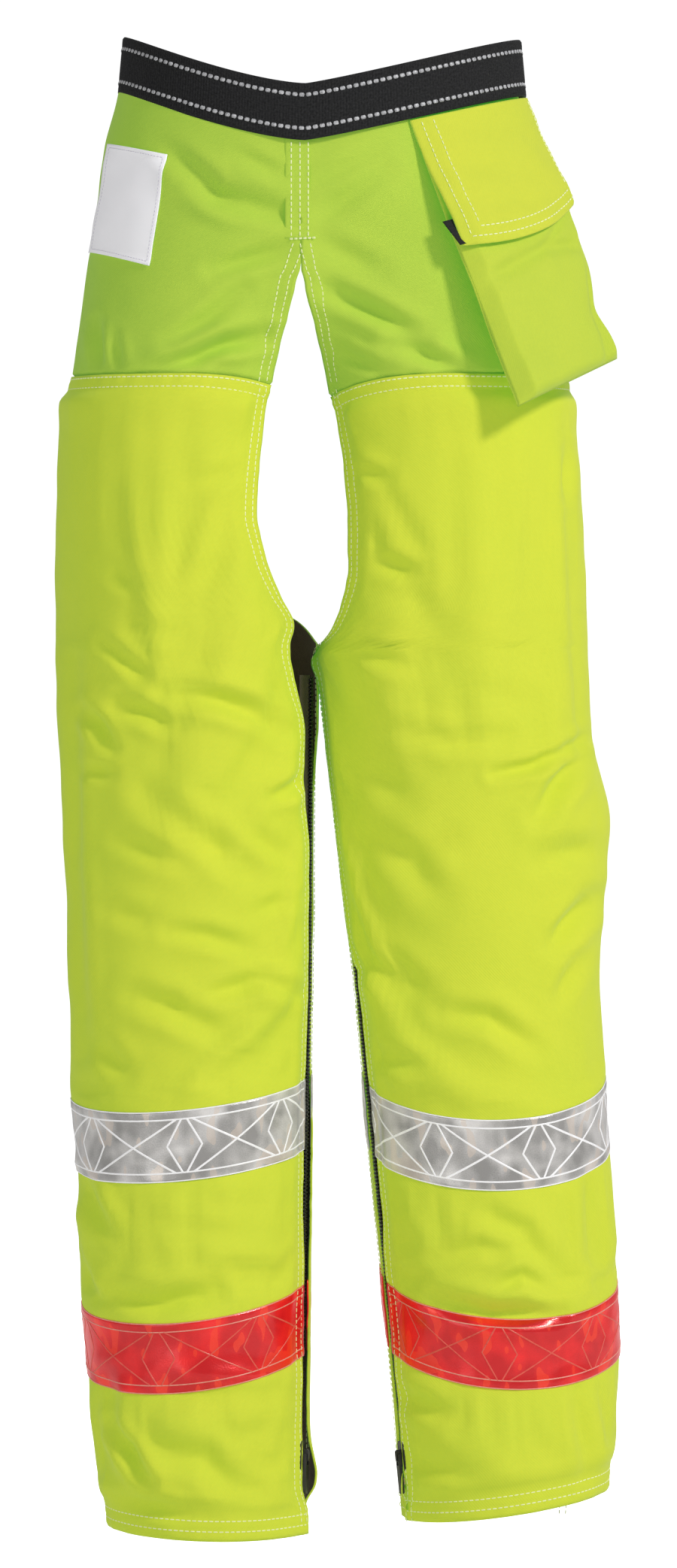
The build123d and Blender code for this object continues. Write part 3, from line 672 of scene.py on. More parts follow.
def prismatic(name, dark, mid, light, warm, glow):
    """Clear tape over tiny prisms: patches of light and dark, a fine grid and a glossy face."""
    n = Nodes(name)
    uv = n.uv()
    patches = n.add("ShaderNodeTexVoronoi", {"Vector": uv, "Scale": 4.2}, feature="F1")
    spread = n.add("ShaderNodeTexNoise", {"Vector": uv, "Scale": 2.6, "Detail": 2.0, "Distortion": 0.6})
    streak = n.add("ShaderNodeMapping", {0: uv, 3: (8, 3.5, 1)})
    streaks = n.add("ShaderNodeTexNoise", {"Vector": streak.outputs[0], "Scale": 1.0, "Detail": 1.0})
    grain = n.add("ShaderNodeTexNoise", {"Vector": uv, "Scale": 120.0, "Detail": 2.0})
    broad = n.math("MULTIPLY", spread.outputs[0], 0.9)
    value = n.math("ADD", broad, n.math("MULTIPLY", streaks.outputs[0], 0.40))
    value = n.math("ADD", value, n.math("MULTIPLY", grain.outputs[0], 0.18))
    base = n.ramp(value, 0.62, 0.92, dark, light)
    tint = n.math("MULTIPLY", n.math("GREATER_THAN", streaks.outputs[0], 0.6), 0.5)
    toned = n.add("ShaderNodeMix", {0: tint, 6: base, 7: warm}, data_type="RGBA").outputs[2]
    blend = n.add("ShaderNodeMix", {0: 0.25, 6: toned, 7: mid}, data_type="RGBA").outputs[2]
    n.link(blend, "Base Color")
    cells = n.add("ShaderNodeTexVoronoi", {"Vector": uv, "Scale": 90.0}, feature="F1")
    height = n.math("ADD", n.math("MULTIPLY", cells.outputs[0], 0.5), patches.outputs[0])
    relief(n, 0.25, 0.0006, height)
    n.set(Metallic=0.25, Roughness=0.28, Coat_Weight=0.35, Coat_Roughness=0.12)
    n.set(Emission_Color=glow, Emission_Strength=1.0)
    return n.material


def plain(name, colour, deep, roughness, scale=30.0, bump=0.2, glow=(0, 0, 0, 1), metallic=0.0):
    """A small part's finish: colour that varies a little, and a fine relief."""
    n = Nodes(name)
    place = n.add("ShaderNodeTexCoord").outputs["Object"]
    noise = n.add("ShaderNodeTexNoise", {"Vector": place, "Scale": scale * 10, "Detail": 3.0})
    n.link(n.ramp(noise.outputs[0], 0.3, 0.7, deep, colour), "Base Color")
    relief(n, bump, 0.0002, noise.outputs[0])
    n.set(Roughness=roughness, Emission_Color=glow, Emission_Strength=1.0, Metallic=metallic)
    return n.material


COVER = cloth("cover_cloth", rgb(0.73, 0.63, 0.045), rgb(0.64, 0.595, 0.040), rgb(0.0, 0.150, 0.010))
PANEL = cloth(
    "panel_cloth", rgb(0.53, 0.575, 0.062), rgb(0.455, 0.53, 0.054), rgb(0.0, 0.130, 0.012), 0.9,
    bump=0.4,
)
BACK = cloth("back_cloth", rgb(0.66, 0.59, 0.045), rgb(0.57, 0.55, 0.040), rgb(0.0, 0.120, 0.010))
FLAP = cloth(
    "flap_cloth", rgb(0.70, 0.60, 0.050), rgb(0.61, 0.56, 0.045), rgb(0.0, 0.140, 0.012), 0.9, bump=0.35,
)
# The pouch and its back panel take the flap's cloth tinted darker and greener: painted shade on the pouch's
# front.
SHADED_POCKET_CLOTH = cloth(
    "pocket_cloth", rgb(0.60, 0.57, 0.052), rgb(0.51, 0.52, 0.047), rgb(0.0, 0.140, 0.012), 0.9,
    bump=0.35,
)
LINING = cloth("lining_cloth", rgb(0.26, 0.21, 0.145), rgb(0.18, 0.145, 0.10), rgb(0, 0, 0), 1.6, 0.9, 0.5)
GUARD = cloth("zip_guard", rgb(0.105, 0.085, 0.058), rgb(0.065, 0.052, 0.037), rgb(0, 0, 0), 1.4, 0.9, 0.5)
LABEL = cloth(
    "label_cloth", rgb(0.95, 0.94, 0.96), rgb(0.86, 0.85, 0.88), rgb(0.15, 0.15, 0.155), 0.5, 0.5, 0.15,
    False,
)
TAPE = cloth("zip_tape", rgb(0.016, 0.016, 0.017), rgb(0.008, 0.008, 0.009), rgb(0, 0, 0), 1.3, 0.8, 0.5)
BELT = webbing()
DASH = plain("belt_dash", rgb(0.62, 0.62, 0.64), rgb(0.26, 0.26, 0.27), 0.35, 60, 0.5)
THREAD = plain("thread", rgb(0.92, 0.91, 0.58), rgb(0.82, 0.82, 0.44), 0.7, 80, 0.3, (0.05, 0.09, 0.03, 1))
WHITE_THREAD = plain("label_thread", rgb(0.75, 0.73, 0.80), rgb(0.6, 0.58, 0.66), 0.7, 80, 0.3)
TEETH = plastic("zip_teeth", rgb(0.012, 0.012, 0.013), rgb(0.06, 0.06, 0.06), 0.35)
PLASTIC = plastic("buckle_plastic", rgb(0.014, 0.014, 0.015), rgb(0.09, 0.09, 0.09), 0.45)
ENAMEL = plastic("zip_enamel", rgb(0.010, 0.010, 0.010), rgb(0.03, 0.03, 0.028), 0.5, coat=0.1)
BRASS = plain("brass", rgb(0.62, 0.42, 0.12), rgb(0.42, 0.27, 0.07), 0.32, 60, 0.3, metallic=1.0)
FELT = plain("hook_and_loop", rgb(0.022, 0.022, 0.023), rgb(0.008, 0.008, 0.008), 0.95, 120, 1.0)
SILVER = prismatic(
    "silver_reflective", rgb(0.20, 0.19, 0.18), rgb(0.56, 0.54, 0.52), rgb(0.84, 0.81, 0.79),
    rgb(0.74, 0.58, 0.45), rgb(0.06, 0.06, 0.06),
)
RED = prismatic(
    "red_reflective", rgb(0.36, 0.004, 0.006), rgb(0.74, 0.016, 0.016), rgb(0.86, 0.024, 0.020),
    rgb(0.92, 0.09, 0.02), rgb(0.21, 0.001, 0.003),
)
WELD = {
    "silver": plain(
        "silver_weld", rgb(0.92, 0.91, 0.92), rgb(0.82, 0.81, 0.82), 0.3, 40, 0.2, (0.14, 0.14, 0.14, 1),
    ),
    "red": plain(
        "red_weld", rgb(0.80, 0.13, 0.09), rgb(0.68, 0.07, 0.05), 0.3, 40, 0.2, (0.06, 0.006, 0.004, 1),
    ),
    "red_border": plain(
        "red_border", rgb(0.85, 0.36, 0.28), rgb(0.76, 0.24, 0.18), 0.3, 40, 0.2, (0.05, 0.02, 0.015, 1),
    ),
}


# ---- leg cloth ----------------------------------------------------------------------------
COVER_THICK = 7.2


def leg_grid(start, end, top, bottom, columns, rows):
    """Angles and heights of a grid from start(z) to end(z) round the leg and top(angle) to bottom(angle)."""
    s, t = np.meshgrid(np.linspace(0, 1, columns), np.linspace(0, 1, rows))
    z = mix(top(0 * s), bottom(0 * s), t)
    for _ in range(4):
        angle = mix(start(z), end(z), s)
        z = mix(top(angle), bottom(angle), t)
    return angle, z


def cover_grid(side, columns, rows):
    return leg_grid(
        rear_edge, lambda z: cover_edge(side, z), seam_z, lambda a: ring(HEM[side], a), columns, rows
    )


def settle(side):
    """Lets a coarse leg cover, cut slightly large and held at its seams and tapes, buckle.

    Returns how far each of its points moves off the leg, on an even grid."""
    angle, z = cover_grid(side, 60, 130)
    edge, rear, below, hem = from_edges(side, angle, z)
    held = np.minimum.reduce([edge - 13, rear - 6, below - 11, hem - 17])
    for (name, colour), shape in BANDS.items():
        if name == side:
            held = np.minimum(held, np.abs(z - ring(shape, angle)) - BAND_WIDTH / 2 - 2)
    start = on_leg(side, angle, z, cover_lift(side, angle, z))
    normals = on_leg(side, angle, z, 1.0) - on_leg(side, angle, z, 0.0)
    piece = make_object(f"{side}_settling", start.reshape(-1, 3), grid_faces(*angle.shape))
    group = piece.vertex_groups.new(name="held")
    weight = 1 - ease(held / 10)
    for i, w in enumerate(weight.ravel()):
        if w > 0:
            group.add([i], float(w), "REPLACE")
    cloth_modifier = piece.modifiers.new("cloth", "CLOTH")
    settings = cloth_modifier.settings
    settings.quality = 5
    settings.mass = 0.25
    settings.tension_stiffness = settings.compression_stiffness = 12
    settings.shear_stiffness = 4
    settings.bending_stiffness = 0.8
    settings.vertex_group_mass = "held"
    settings.shrink_min = -0.045
    settings.use_pressure = True
    settings.uniform_pressure_force = 1.5
    cloth_modifier.collision_settings.use_collision = False
    scene = bpy.context.scene
    for step in range(1, 19):
        scene.frame_set(step)
    moved = np.zeros(angle.size * 3)
    result = piece.evaluated_get(bpy.context.evaluated_depsgraph_get()).to_mesh()
    result.vertices.foreach_get("co", moved)
    scene.frame_set(1)
    bpy.data.objects.remove(piece)
    off = ((moved.reshape(*angle.shape, 3) / MM - start) * normals).sum(axis=-1)
    off = np.clip(off, -4, 4) * (1 - weight)
    padded = np.pad(off, 1, mode="edge")
    return (padded[:-2, 1:-1] + padded[2:, 1:-1] + padded[1:-1, :-2] + padded[1:-1, 2:] + 2 * off) / 6


def spread(field, rows, columns):
    """A coarse grid's values on a finer grid."""
    down = np.linspace(0, field.shape[0] - 1.001, rows)
    across = np.linspace(0, field.shape[1] - 1.001, columns)
    t, s = np.meshgrid(down, across, indexing="ij")
    i, j = t.astype(int), s.astype(int)
    u, v = ease(t - i), ease(s - j)
    return mix(mix(field[i, j], field[i, j + 1], v), mix(field[i + 1, j], field[i + 1, j + 1], v), u)


def leg_cover(side):
    angle, z = cover_grid(side, 150, 330)
    edge, rear, below, hem = from_edges(side, angle, z)
    lift = cover_lift(side, angle, z)
    front = ease(np.cos(np.radians(angle)) * 2.0 + 0.1)
    settled = spread(settle(side), *angle.shape)
    lift = lift + settled * (0.12 + 0.88 * front) * (0.25 + 0.75 * ease((-262 - z) / 90))
    rim = np.minimum(np.minimum(edge, rear), np.minimum(below, hem))
    lift = lift - 0.9 * (1 - ease(rim / 2.2))  # rolled edges
    lift = lift + 0.7 * (1 - ease(below / 2.5))
    filled = (COVER_THICK - 1.3) * ease((edge - 12) / 14) * ease((below - 12) / 12) * ease((hem - 18) / 12)
    thick = (1.3 + filled) * (0.35 + 0.65 * ease(rim / 2.0))
    outer, inner = on_leg(side, angle, z, lift), on_leg(side, angle, z, lift - thick)
    piece = sheet_object(f"{side}_leg_cover", outer, inner, [COVER, LINING])
    layers = [f"{side}_{part}_{layer}" for part in ("thigh", "shin") for layer in ("shell", "pad", "lining")]
    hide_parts(*layers)
    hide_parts(f"{side}_hem_facing")
    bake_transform(piece)
    return piece


def hip_panel(side):
    def belt_line(angle):
        x = on_leg(side, angle, 0 * angle - 40)[..., 0]
        return belt_middle(x) - 12

    def inner_edge(z):
        return angle_of_x(side, INNER_EDGE[side](z), z)

    angle, z = leg_grid(rear_edge, inner_edge, belt_line, lambda a: seam_z(a) - 4, 120, 100)
    lift = panel_lift(side, angle, z)
    lift -= 2.6 * ease((seam_z(angle) + 2.2 - z) / 2.4)  # tucked under the leg cover
    outer, inner = on_leg(side, angle, z, lift), on_leg(side, angle, z, lift - 1.2)
    piece = sheet_object(f"{side}_hip_panel_cloth", outer, inner, [PANEL, PANEL])
    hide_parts(f"{side}_hip_panel", f"{side}_hip_panel_lower")
    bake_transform(piece)
    return piece


def back_top(side, angle):
    """The upper edge climbs from the zip towards the side seam."""
    start = -272 if side == "right" else -240
    return BACK_TOP + 22 * ease((angle - start) / 46) + 8 * ease((angle + 226) / 60)


def back_panel(side):
    angle, z = leg_grid(
        lambda z: -360 + back_edge(z), lambda z: REAR + 1.5 + 0 * z,
        lambda a: back_top(side, a), lambda a: ring(HEM[side], a), 90, 260,
    )  # fmt: skip
    lift = back_lift(side, angle, z) - 0.6
    if side == "right":  # the free upper edge stands out towards the other leg
        edge = np.radians(angle - (-360 + back_edge(z))) * HALF_DEPTH(z)
        lift = lift + 3.0 * np.exp(-((edge / 30) ** 2)) * ease((z + 520) / 60)
        lift = lift + 2.5 * np.exp(-((edge / 16) ** 2)) * ease((-700 - z) / 60)
        lift = lift + 7.0 * np.exp(-((edge / 13) ** 2)) * np.exp(-(((z + 998) / 22) ** 2))
    rear = np.radians(REAR + 1.5 - angle) * HALF_DEPTH(z)
    lift = lift - 1.2 * (1 - ease(rear / 5))
    outer, inner = on_leg(side, angle, z, lift), on_leg(side, angle, z, lift - 1.3)
    piece = sheet_object(f"{side}_back_panel", outer, inner, [BACK, LINING])
    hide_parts(f"{side}_thigh_back", f"{side}_shin_back")
    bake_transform(piece)
    return piece


# ---- stitching ----------------------------------------------------------------------------
def leg_normals(side):
    def at(points):
        middle, half_width, half_depth = tube(side, points[:, 2])
        across, out = (points[:, 0] - middle) / half_width**2, points[:, 1] / half_depth**2
        n = np.stack([across, out, 0 * middle], axis=1)
        return n / np.linalg.norm(n, axis=1, keepdims=True)

    return at


def leg_stitches(side):
    """Double rows on the leg cover, the back panel and the hip panel."""
    normals = leg_normals(side)
    cover = Stitches(f"{side}_cover_stitching")

    def row(target, layer, angle, z, **options):
        target.row(on_layer(side, layer, angle, z, 0.12), normals, **options)

    for inset in EDGE_ROWS:
        z = np.linspace(-228, -1030, 500)
        row(cover, "cover", cover_edge(side, z, inset), z)
    for rise in (7.0, 14.5):
        angle = np.linspace(REAR + 2, cover_edge(side, -1030.0) - 3, 200)
        row(cover, "cover", angle, ring(HEM[side], angle) + rise)
        angle = np.linspace(-360 + back_edge(-1030.0, 3), REAR - 2, 120)
        row(cover, "back", angle, ring(HEM[side], angle) + rise)
    for inset in (3.0, 8.5):
        z = np.linspace(-412, -1030, 400)
        row(cover, "back", -360 + back_edge(z, inset), z)
    for inset in (3.0, 8.5):
        z = np.linspace(-232, -1030, 400)
        row(cover, "cover", rear_edge(z) + arc_angle(z, inset), z)
    angle = np.linspace(-360 + back_edge(BACK_TOP, 4), REAR - 2, 100)
    for drop in (5.0, 11.0):
        row(cover, "back", angle, back_top(side, angle) - drop)
    piece = cover.make(THREAD)
    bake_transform(piece)

    seam = Stitches(f"{side}_thigh_seam_stitching")
    for drop in (2.0, 9.0):
        angle = np.linspace(rear_edge(-226.0) + 2, cover_edge(side, -232.0) - 2, 220)
        row(seam, "cover", angle, seam_z(angle) - drop)
    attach(seam.make(THREAD), f"{side}_thigh")

    panel = Stitches(f"{side}_hip_panel_stitching")
    for inset in (5.0, 11.5):
        z = np.linspace(-127, -224, 70)
        lean = INWARD[side] * 0.25 * np.maximum(0, z + 150)
        angle = angle_of_x(side, INNER_EDGE[side](z) + lean, z) - arc_angle(z, inset)
        row(panel, "panel", angle, z)
    for inset in (4.0, 10.0):
        z = np.linspace(-30, -220, 80)
        row(panel, "panel", rear_edge(z) + arc_angle(z, inset), z)
    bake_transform(panel.make(THREAD))


# ---- centre front -------------------------------------------------------------------------
def placket():
    """Stitched strip over the centre front seam, with a bar tack at its foot."""
    s, t = np.meshgrid(np.linspace(0, 1, 16), np.linspace(0, 1, 60))
    x, z = mix(-26, -8.6, s), mix(-52, -124, t)
    y = -HALF_DEPTH(z) - 0.35 - 0.5 * ease(s / 0.12) * ease((1 - s) / 0.06) - 0.18 * lumps(x, z, 9, 61)
    outer = np.stack([x, y, z], axis=-1)
    inner = outer + np.array([0, 1.0, 0])
    piece = sheet_object("centre_placket_cloth", outer, inner, [PANEL, PANEL])
    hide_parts("centre_placket")
    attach(piece, "waist")

    rows = Stitches("placket_stitching")

    def front(points):
        return np.tile([0.0, -1.0, 0.0], (len(points), 1))

    for x in (-21.5, -15.4, -9.6):
        z = np.linspace(-56, -123, 30)
        rows.row(np.stack([x + 0 * z, -HALF_DEPTH(z) - 1.05, z], axis=1), front)
    x = np.linspace(-23, -4, 40)
    for k in range(3):  # bar tack
        z = -124.5 + 0.45 * k + 0.05 * (x + 14)
        rows.row(np.stack([x, -HALF_DEPTH(z) - 1.0, z], axis=1), front, pitch=2.9, length=2.4, width=0.45)
    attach(rows.make(THREAD), "waist")


def care_label():
    """A blank white label sewn to the right hip."""
    corners = np.array([[-152, -53.5], [-109, -64], [-121, -142.6], [-165, -130]], float)
    s, t = np.meshgrid(np.linspace(0, 1, 40), np.linspace(0, 1, 60))
    s3, t3 = s[..., None], t[..., None]
    xz = mix(mix(corners[0], corners[1], s3), mix(corners[3], corners[2], s3), t3)
    angle = angle_of_x("right", xz[..., 0], xz[..., 1])
    lift = panel_lift("right", angle, xz[..., 1])
    bow = 1.0 + 0.5 * lumps(s * 44, t * 80, 16, 71) + 0.8 * ease(1 - np.minimum(t, 1 - t) * 14) * ease(s * 3)
    outer = on_leg("right", angle, xz[..., 1], lift + bow)
    inner = on_leg("right", angle, xz[..., 1], lift + bow - 0.5)
    piece = sheet_object("care_label_cloth", outer, inner, [LABEL, LABEL])
    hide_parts("care_label")
    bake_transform(piece)
    rows = Stitches("label_stitching")
    path = [(0.05, 0.03), (0.95, 0.03), (0.95, 0.97), (0.05, 0.97), (0.05, 0.03)]
    for (s0, t0), (s1, t1) in zip(path[:-1], path[1:]):
        k = np.linspace(0, 1, 30)
        i = np.clip(mix(t0, t1, k) * 59, 0, 58.999)
        j = np.clip(mix(s0, s1, k) * 39, 0, 38.999)
        rows.row(outer[i.round().astype(int), j.round().astype(int)], leg_normals("right"), 2.6, 1.9, 0.5)
    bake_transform(rows.make(WHITE_THREAD))


# ---- belt ---------------------------------------------------------------------------------
BELT_WIDTH, BELT_THICK, BELT_OUT, REAR_DROP = 40.0, 2.2, 3.0, 30.0
WAIST_A, WAIST_B = 143.0, 97.0
TURN = math.radians(-REAR_WAIST)
CORNER_R = 45.0
CORNER = (WAIST_A * math.sin(TURN), -WAIST_B * math.cos(TURN))
CORNER_NORMAL = math.atan2(-math.cos(TURN) / WAIST_B, math.sin(TURN) / WAIST_A)
REAR_X = CORNER[0] - CORNER_R * math.cos(CORNER_NORMAL)
REAR_Y = CORNER[1] - CORNER_R * math.sin(CORNER_NORMAL) + CORNER_R


def belt_middle(x):
    away = np.asarray(x) + 12.0
    rise = np.where(away < 0, 0.0244 * np.abs(away) ** 1.5, 0.1066 * np.abs(away) ** 1.15)
    return -35.5 + rise


def belt_point(q, out):
    """Plan and middle height of the belt; q goes from -1 at the right rear end to 1 at the left one."""
    sign = np.where(q >= 0, 1.0, -1.0)
    share = np.abs(q)
    r = TURN * np.minimum(share, 0.72) / 0.72
    nx, ny = np.sin(r) / WAIST_A, -np.cos(r) / WAIST_B
    length = np.hypot(nx, ny)
    x0 = WAIST_A * np.sin(r) + out * nx / length
    y0 = -WAIST_B * np.cos(r) + out * ny / length
    z0 = mix(belt_middle(sign * x0), -REAR_DROP, ease(np.maximum(0, np.degrees(r) - 80) / 100))
    turn = mix(CORNER_NORMAL, math.pi / 2, np.clip((share - 0.72) / 0.14, 0, 1))
    run = np.maximum(0, share - 0.86) / 0.14
    end_x = np.where(sign > 0, 24.0, 78.0)
    x1 = REAR_X + (CORNER_R + out) * np.cos(turn) - run * (REAR_X - end_x)
    y1 = REAR_Y - CORNER_R + (CORNER_R + out) * np.sin(turn)
    past = (math.degrees(TURN) - 80 + 55 * (share - 0.72) / 0.14) / 100
    z1 = mix(belt_middle(sign * 139), -REAR_DROP, ease(past))
    front = share <= 0.72
    x, y, z = (np.where(front, near, far) for near, far in ((x0, x1), (y0, y1), (z0, z1)))
    return np.stack([sign * x, y, z], axis=-1)


def lean_in(points, t):
    """The belt's sides lean in towards its top edge; its rear run stays where the buckle is."""
    near = ease((70 - points[..., 1]) / 60)
    points[..., 0] *= 1 - near * mix(0.046, 0.022, t)
    return points


def belt():
    q = np.linspace(-1, 1, 1501)
    line = belt_point(q, BELT_OUT)
    length = np.concatenate([[0], np.cumsum(np.linalg.norm(np.diff(line, axis=0), axis=1))])
    t = np.concatenate([[0, 0.012], np.linspace(0.03, 0.97, 15), [0.988, 1]])
    ribs = 0.22 * np.sin(2 * math.pi * length / 2.2)
    edge = np.minimum(t, 1 - t)
    roll = 0.5 * (1 - ease(edge / 0.03))[:, None]
    groove = 0.25 * (np.exp(-(((t - 0.2) / 0.05) ** 2)) + np.exp(-(((t - 0.8) / 0.05) ** 2)))[:, None]

    def face(out, sign):
        lift = out + sign * (ribs[None] * ease(edge / 0.04)[:, None] - roll - groove)
        rows = [belt_point(q, row) for row in lift]
        grid = np.stack(rows)
        grid[..., 2] += BELT_WIDTH * (0.5 - t[:, None])
        return lean_in(grid, t[:, None])

    outside, inside = face(BELT_OUT + BELT_THICK, 1), face(BELT_OUT, -1)
    piece = sheet_object("waist_belt_webbing", outside, inside, [BELT, BELT])
    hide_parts("waist_belt")
    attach(piece, "waist")

    # Reflective dashes woven in two rows.
    points, faces, count = [], [], 0
    for drop in (8.3, 31.7):
        at = np.arange(6, length[-1] - 6, 5.0)
        qs = np.interp(at, length, q)
        centre = belt_point(qs, BELT_OUT + BELT_THICK + 0.05)
        ahead = belt_point(qs + 0.002, BELT_OUT + BELT_THICK) - belt_point(qs - 0.002, BELT_OUT + BELT_THICK)
        out = belt_point(qs, BELT_OUT + 4) - belt_point(qs, BELT_OUT)
        centre[:, 2] += BELT_WIDTH / 2 - drop
        centre = lean_in(centre, drop / BELT_WIDTH)
        p, f = beads(centre, ahead, out, 3.7, 3.0, 0.7)
        points.append(p)
        faces += [[i + count for i in face_] for face_ in f]
        count += len(p)
    dashes = make_object("belt_dashes", np.concatenate(points), faces, None, [DASH])
    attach(dashes, "waist")


# ---- pocket -------------------------------------------------------------------------------
POCKET_TOP = (25.0, 84.0)
POCKET_FOOT = (np.array([137.0, -110.0, -243.0]), np.array([207.0, -25.0, -207.0]))
POCKET_OUT = np.array([0.6135, -0.726, 0.309])


def pocket_point(u, v, out):
    """u across from the front edge, v down from the belt, out away from the leg."""
    u, v, out = np.broadcast_arrays(*[np.asarray(c, float) for c in (u, v, out)])
    r = np.radians(mix(*POCKET_TOP, u))
    x = (WAIST_A + 2) * np.sin(r)
    top = np.stack([x, -(WAIST_B + 2) * np.cos(r), belt_middle(x) - BELT_WIDTH / 2 - 0.5], axis=-1)
    foot = mix(POCKET_FOOT[0], POCKET_FOOT[1], u[..., None])
    outward = mix(np.stack([np.sin(r), -np.cos(r), 0 * r], axis=-1), POCKET_OUT, v[..., None])
    outward /= np.linalg.norm(outward, axis=-1, keepdims=True)
    return mix(top, foot, v[..., None]) + out[..., None] * outward


def flap_end(u):
    return 0.445 + 0.05 * 4 * u * (1 - u) - 0.055 * u


def flap_out(u, v):
    side = ease(u / 0.10) * ease((1 - u) / 0.10)
    sag = 1.4 * lumps(u * 118, v * 205, 34, 81) + 0.7 * lumps(u * 118, v * 205, 14, 82)
    across = (v - 0.33) * 205 - (u - 0.3) * 22
    sag += -1.8 * np.exp(-((across / 8) ** 2)) * np.exp(-(((u - 0.35) / 0.25) ** 2))
    across = (v - 0.20) * 205 - (u - 0.3) * 30
    sag += -2.2 * np.exp(-((across / 9) ** 2)) * np.exp(-(((u - 0.3) / 0.25) ** 2))
    return 2.8 + 8.5 * ease(v / 0.5) ** 0.9 + (1.8 + 3.0 * v / 0.45) * side - 1.5 + sag * ease(v / 0.12)


def pouch_out(u, v):
    t = np.clip((v - 0.36) / 0.64, 0, 1)
    depth = 7.0 + 9.0 * t**1.1
    left, right = np.clip(u / 0.085, 0, 1), np.clip((1 - u) / 0.10, 0, 1)
    round_side = (0.9 * left + 0.1 * np.sqrt(np.clip(u / 0.5, 0, 1))) * (0.88 * right**0.8 + 0.12)
    round_side = round_side * (1 - 0.35 * np.exp(-(((v - 0.80) / 0.09) ** 2)) * ease((u - 0.66) / 0.3))
    round_foot = np.sqrt(np.clip(1 - np.clip((v - 0.955) / 0.047, 0, 1) ** 2, 0, 1))
    across = (v - 0.52) * 205 - 18 * np.abs(u - 0.55) - 2
    crease = -4.2 * np.exp(-((across / 6) ** 2)) * ease((0.48 - np.abs(u - 0.5)) / 0.2)
    crease += -3.0 * np.exp(-((((u - 0.86) * 118 + (v - 0.8) * 25) / 5) ** 2)) * ease((v - 0.5) / 0.2)
    across = (v - 0.50) * 205 + (u - 0.62) * 60
    crease += -2.4 * np.exp(-((across / 5) ** 2)) * np.exp(-(((u - 0.66) / 0.12) ** 2))
    crease += 1.6 * lumps(u * 118, v * 205, 34, 91) + 0.6 * lumps(u * 118, v * 205, 13, 92)
    return 1.2 + (depth + crease) * round_side * (0.15 + 0.85 * round_foot)


def flare(u, v):
    """The rear edge draws in below the flap and its bottom corner stands out."""
    rear = ease((u - 0.6) / 0.4)
    return u + rear * (0.010 * ease((v - 0.86) / 0.14) - 0.055 * np.exp(-(((v - 0.80) / 0.09) ** 2)))


def pocket():
    # Back panel with the pouch's front face over it, as one soft bag.
    s, t = np.meshgrid(np.linspace(0, 1, 70), np.linspace(0, 1, 110))
    wave = 1.0 * lumps(s * 118, t * 205, 40, 95)
    back_out = pocket_point(flare(s, t), t, 0.9 + wave * ease(t / 0.2))
    back_in = pocket_point(flare(s, t), t, -0.3 + wave * ease(t / 0.2))
    back = sheet_object("pocket_back_cloth", back_out, back_in, [SHADED_POCKET_CLOTH, SHADED_POCKET_CLOTH])
    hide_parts("pocket_back")
    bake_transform(back)

    s, t = np.meshgrid(np.linspace(0.0, 1.0, 90), np.linspace(0, 1, 120))
    v = mix(0.36, 1.0, t)
    outer = pocket_point(flare(s, v), v, pouch_out(s, v))
    inner_out = np.maximum(pouch_out(s, v) - 1.4, 1.0)
    inner = pocket_point(mix(0.5, flare(s, v), 0.97), mix(0.36, 0.985, t), inner_out)
    pouch = sheet_object("pocket_pouch_cloth", outer, inner, [SHADED_POCKET_CLOTH, SHADED_POCKET_CLOTH])
    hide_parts("pocket_pouch")
    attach(pouch, "pocket")

    s, t = np.meshgrid(np.linspace(0, 1, 90), np.linspace(0, 1, 90))
    v = t * flap_end(s)
    rim = np.minimum(np.minimum(s, 1 - s) * 118, (flap_end(s) - v) * 205)
    out = flap_out(s, v) - 0.8 * (1 - ease(rim / 2.0))
    outer, inner = pocket_point(s, v, out), pocket_point(s, v, out - 1.3)
    flap = sheet_object("pocket_flap_cloth", outer, inner, [FLAP, FLAP])
    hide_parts("pocket_flap")
    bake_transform(flap)

    def outwards(points):
        return np.tile(POCKET_OUT, (len(points), 1))

    rows = Stitches("flap_stitching")
    for inset in (6.0, 13.0):
        v = np.linspace(0.01, float(flap_end(0.0)) - inset / 205, 60)
        u = inset / 118 + 0 * v
        rows.row(pocket_point(u, v, flap_out(u, v) + 0.15), outwards)
        u = np.linspace(inset / 118, 1 - inset / 118, 60)
        v = flap_end(u) - inset / 205
        rows.row(pocket_point(u, v, flap_out(u, v) + 0.15), outwards)
        v = np.linspace(0.01, float(flap_end(1.0)) - inset / 205, 60)
        u = 1 - inset / 118 + 0 * v
        rows.row(pocket_point(u, v, flap_out(u, v) + 0.15), outwards)
    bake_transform(rows.make(THREAD))

    # Black closing tab beside the flap's front corner.
    s, t = np.meshgrid(np.linspace(0, 1, 10), np.linspace(0, 1, 24))
    u, v = -0.030 + 0.055 * s + 0.030 * (t - 0.5), 0.350 + 0.090 * t
    out = 5.0 + 4.0 * t + 1.5 * s
    tab = sheet_object("pocket_tab", pocket_point(u, v, out), pocket_point(u, v, out - 1.4), [FELT, FELT])
    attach(tab, "pocket")

    s, t = np.meshgrid(np.linspace(0.10, 0.90, 40), np.linspace(0, 1, 8))
    v = 0.362 + 0.036 * t
    under = flap_out(s, v) - 1.35
    outer, inner = pocket_point(s, v, under), pocket_point(s, v, under - 0.8)
    hooks = sheet_object("pocket_hook_strip", outer, inner, [FELT, FELT])
    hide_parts("pocket_hook_tape")
    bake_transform(hooks)
    over = pouch_out(s, v) + 0.9
    outer, inner = pocket_point(s, v, over), pocket_point(s, v, over - 1.0)
    loops = sheet_object("pocket_loop_strip", outer, inner, [FELT, FELT])
    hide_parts("pocket_loop_tape")
    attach(loops, "pocket")


# ---- reflective bands ---------------------------------------------------------------------
DIAMOND_AT = {
    ("right", "silver"): -4.0, ("left", "silver"): 25.8, ("right", "red"): -20.3, ("left", "red"): 1.8,
}
PITCH = 75.0


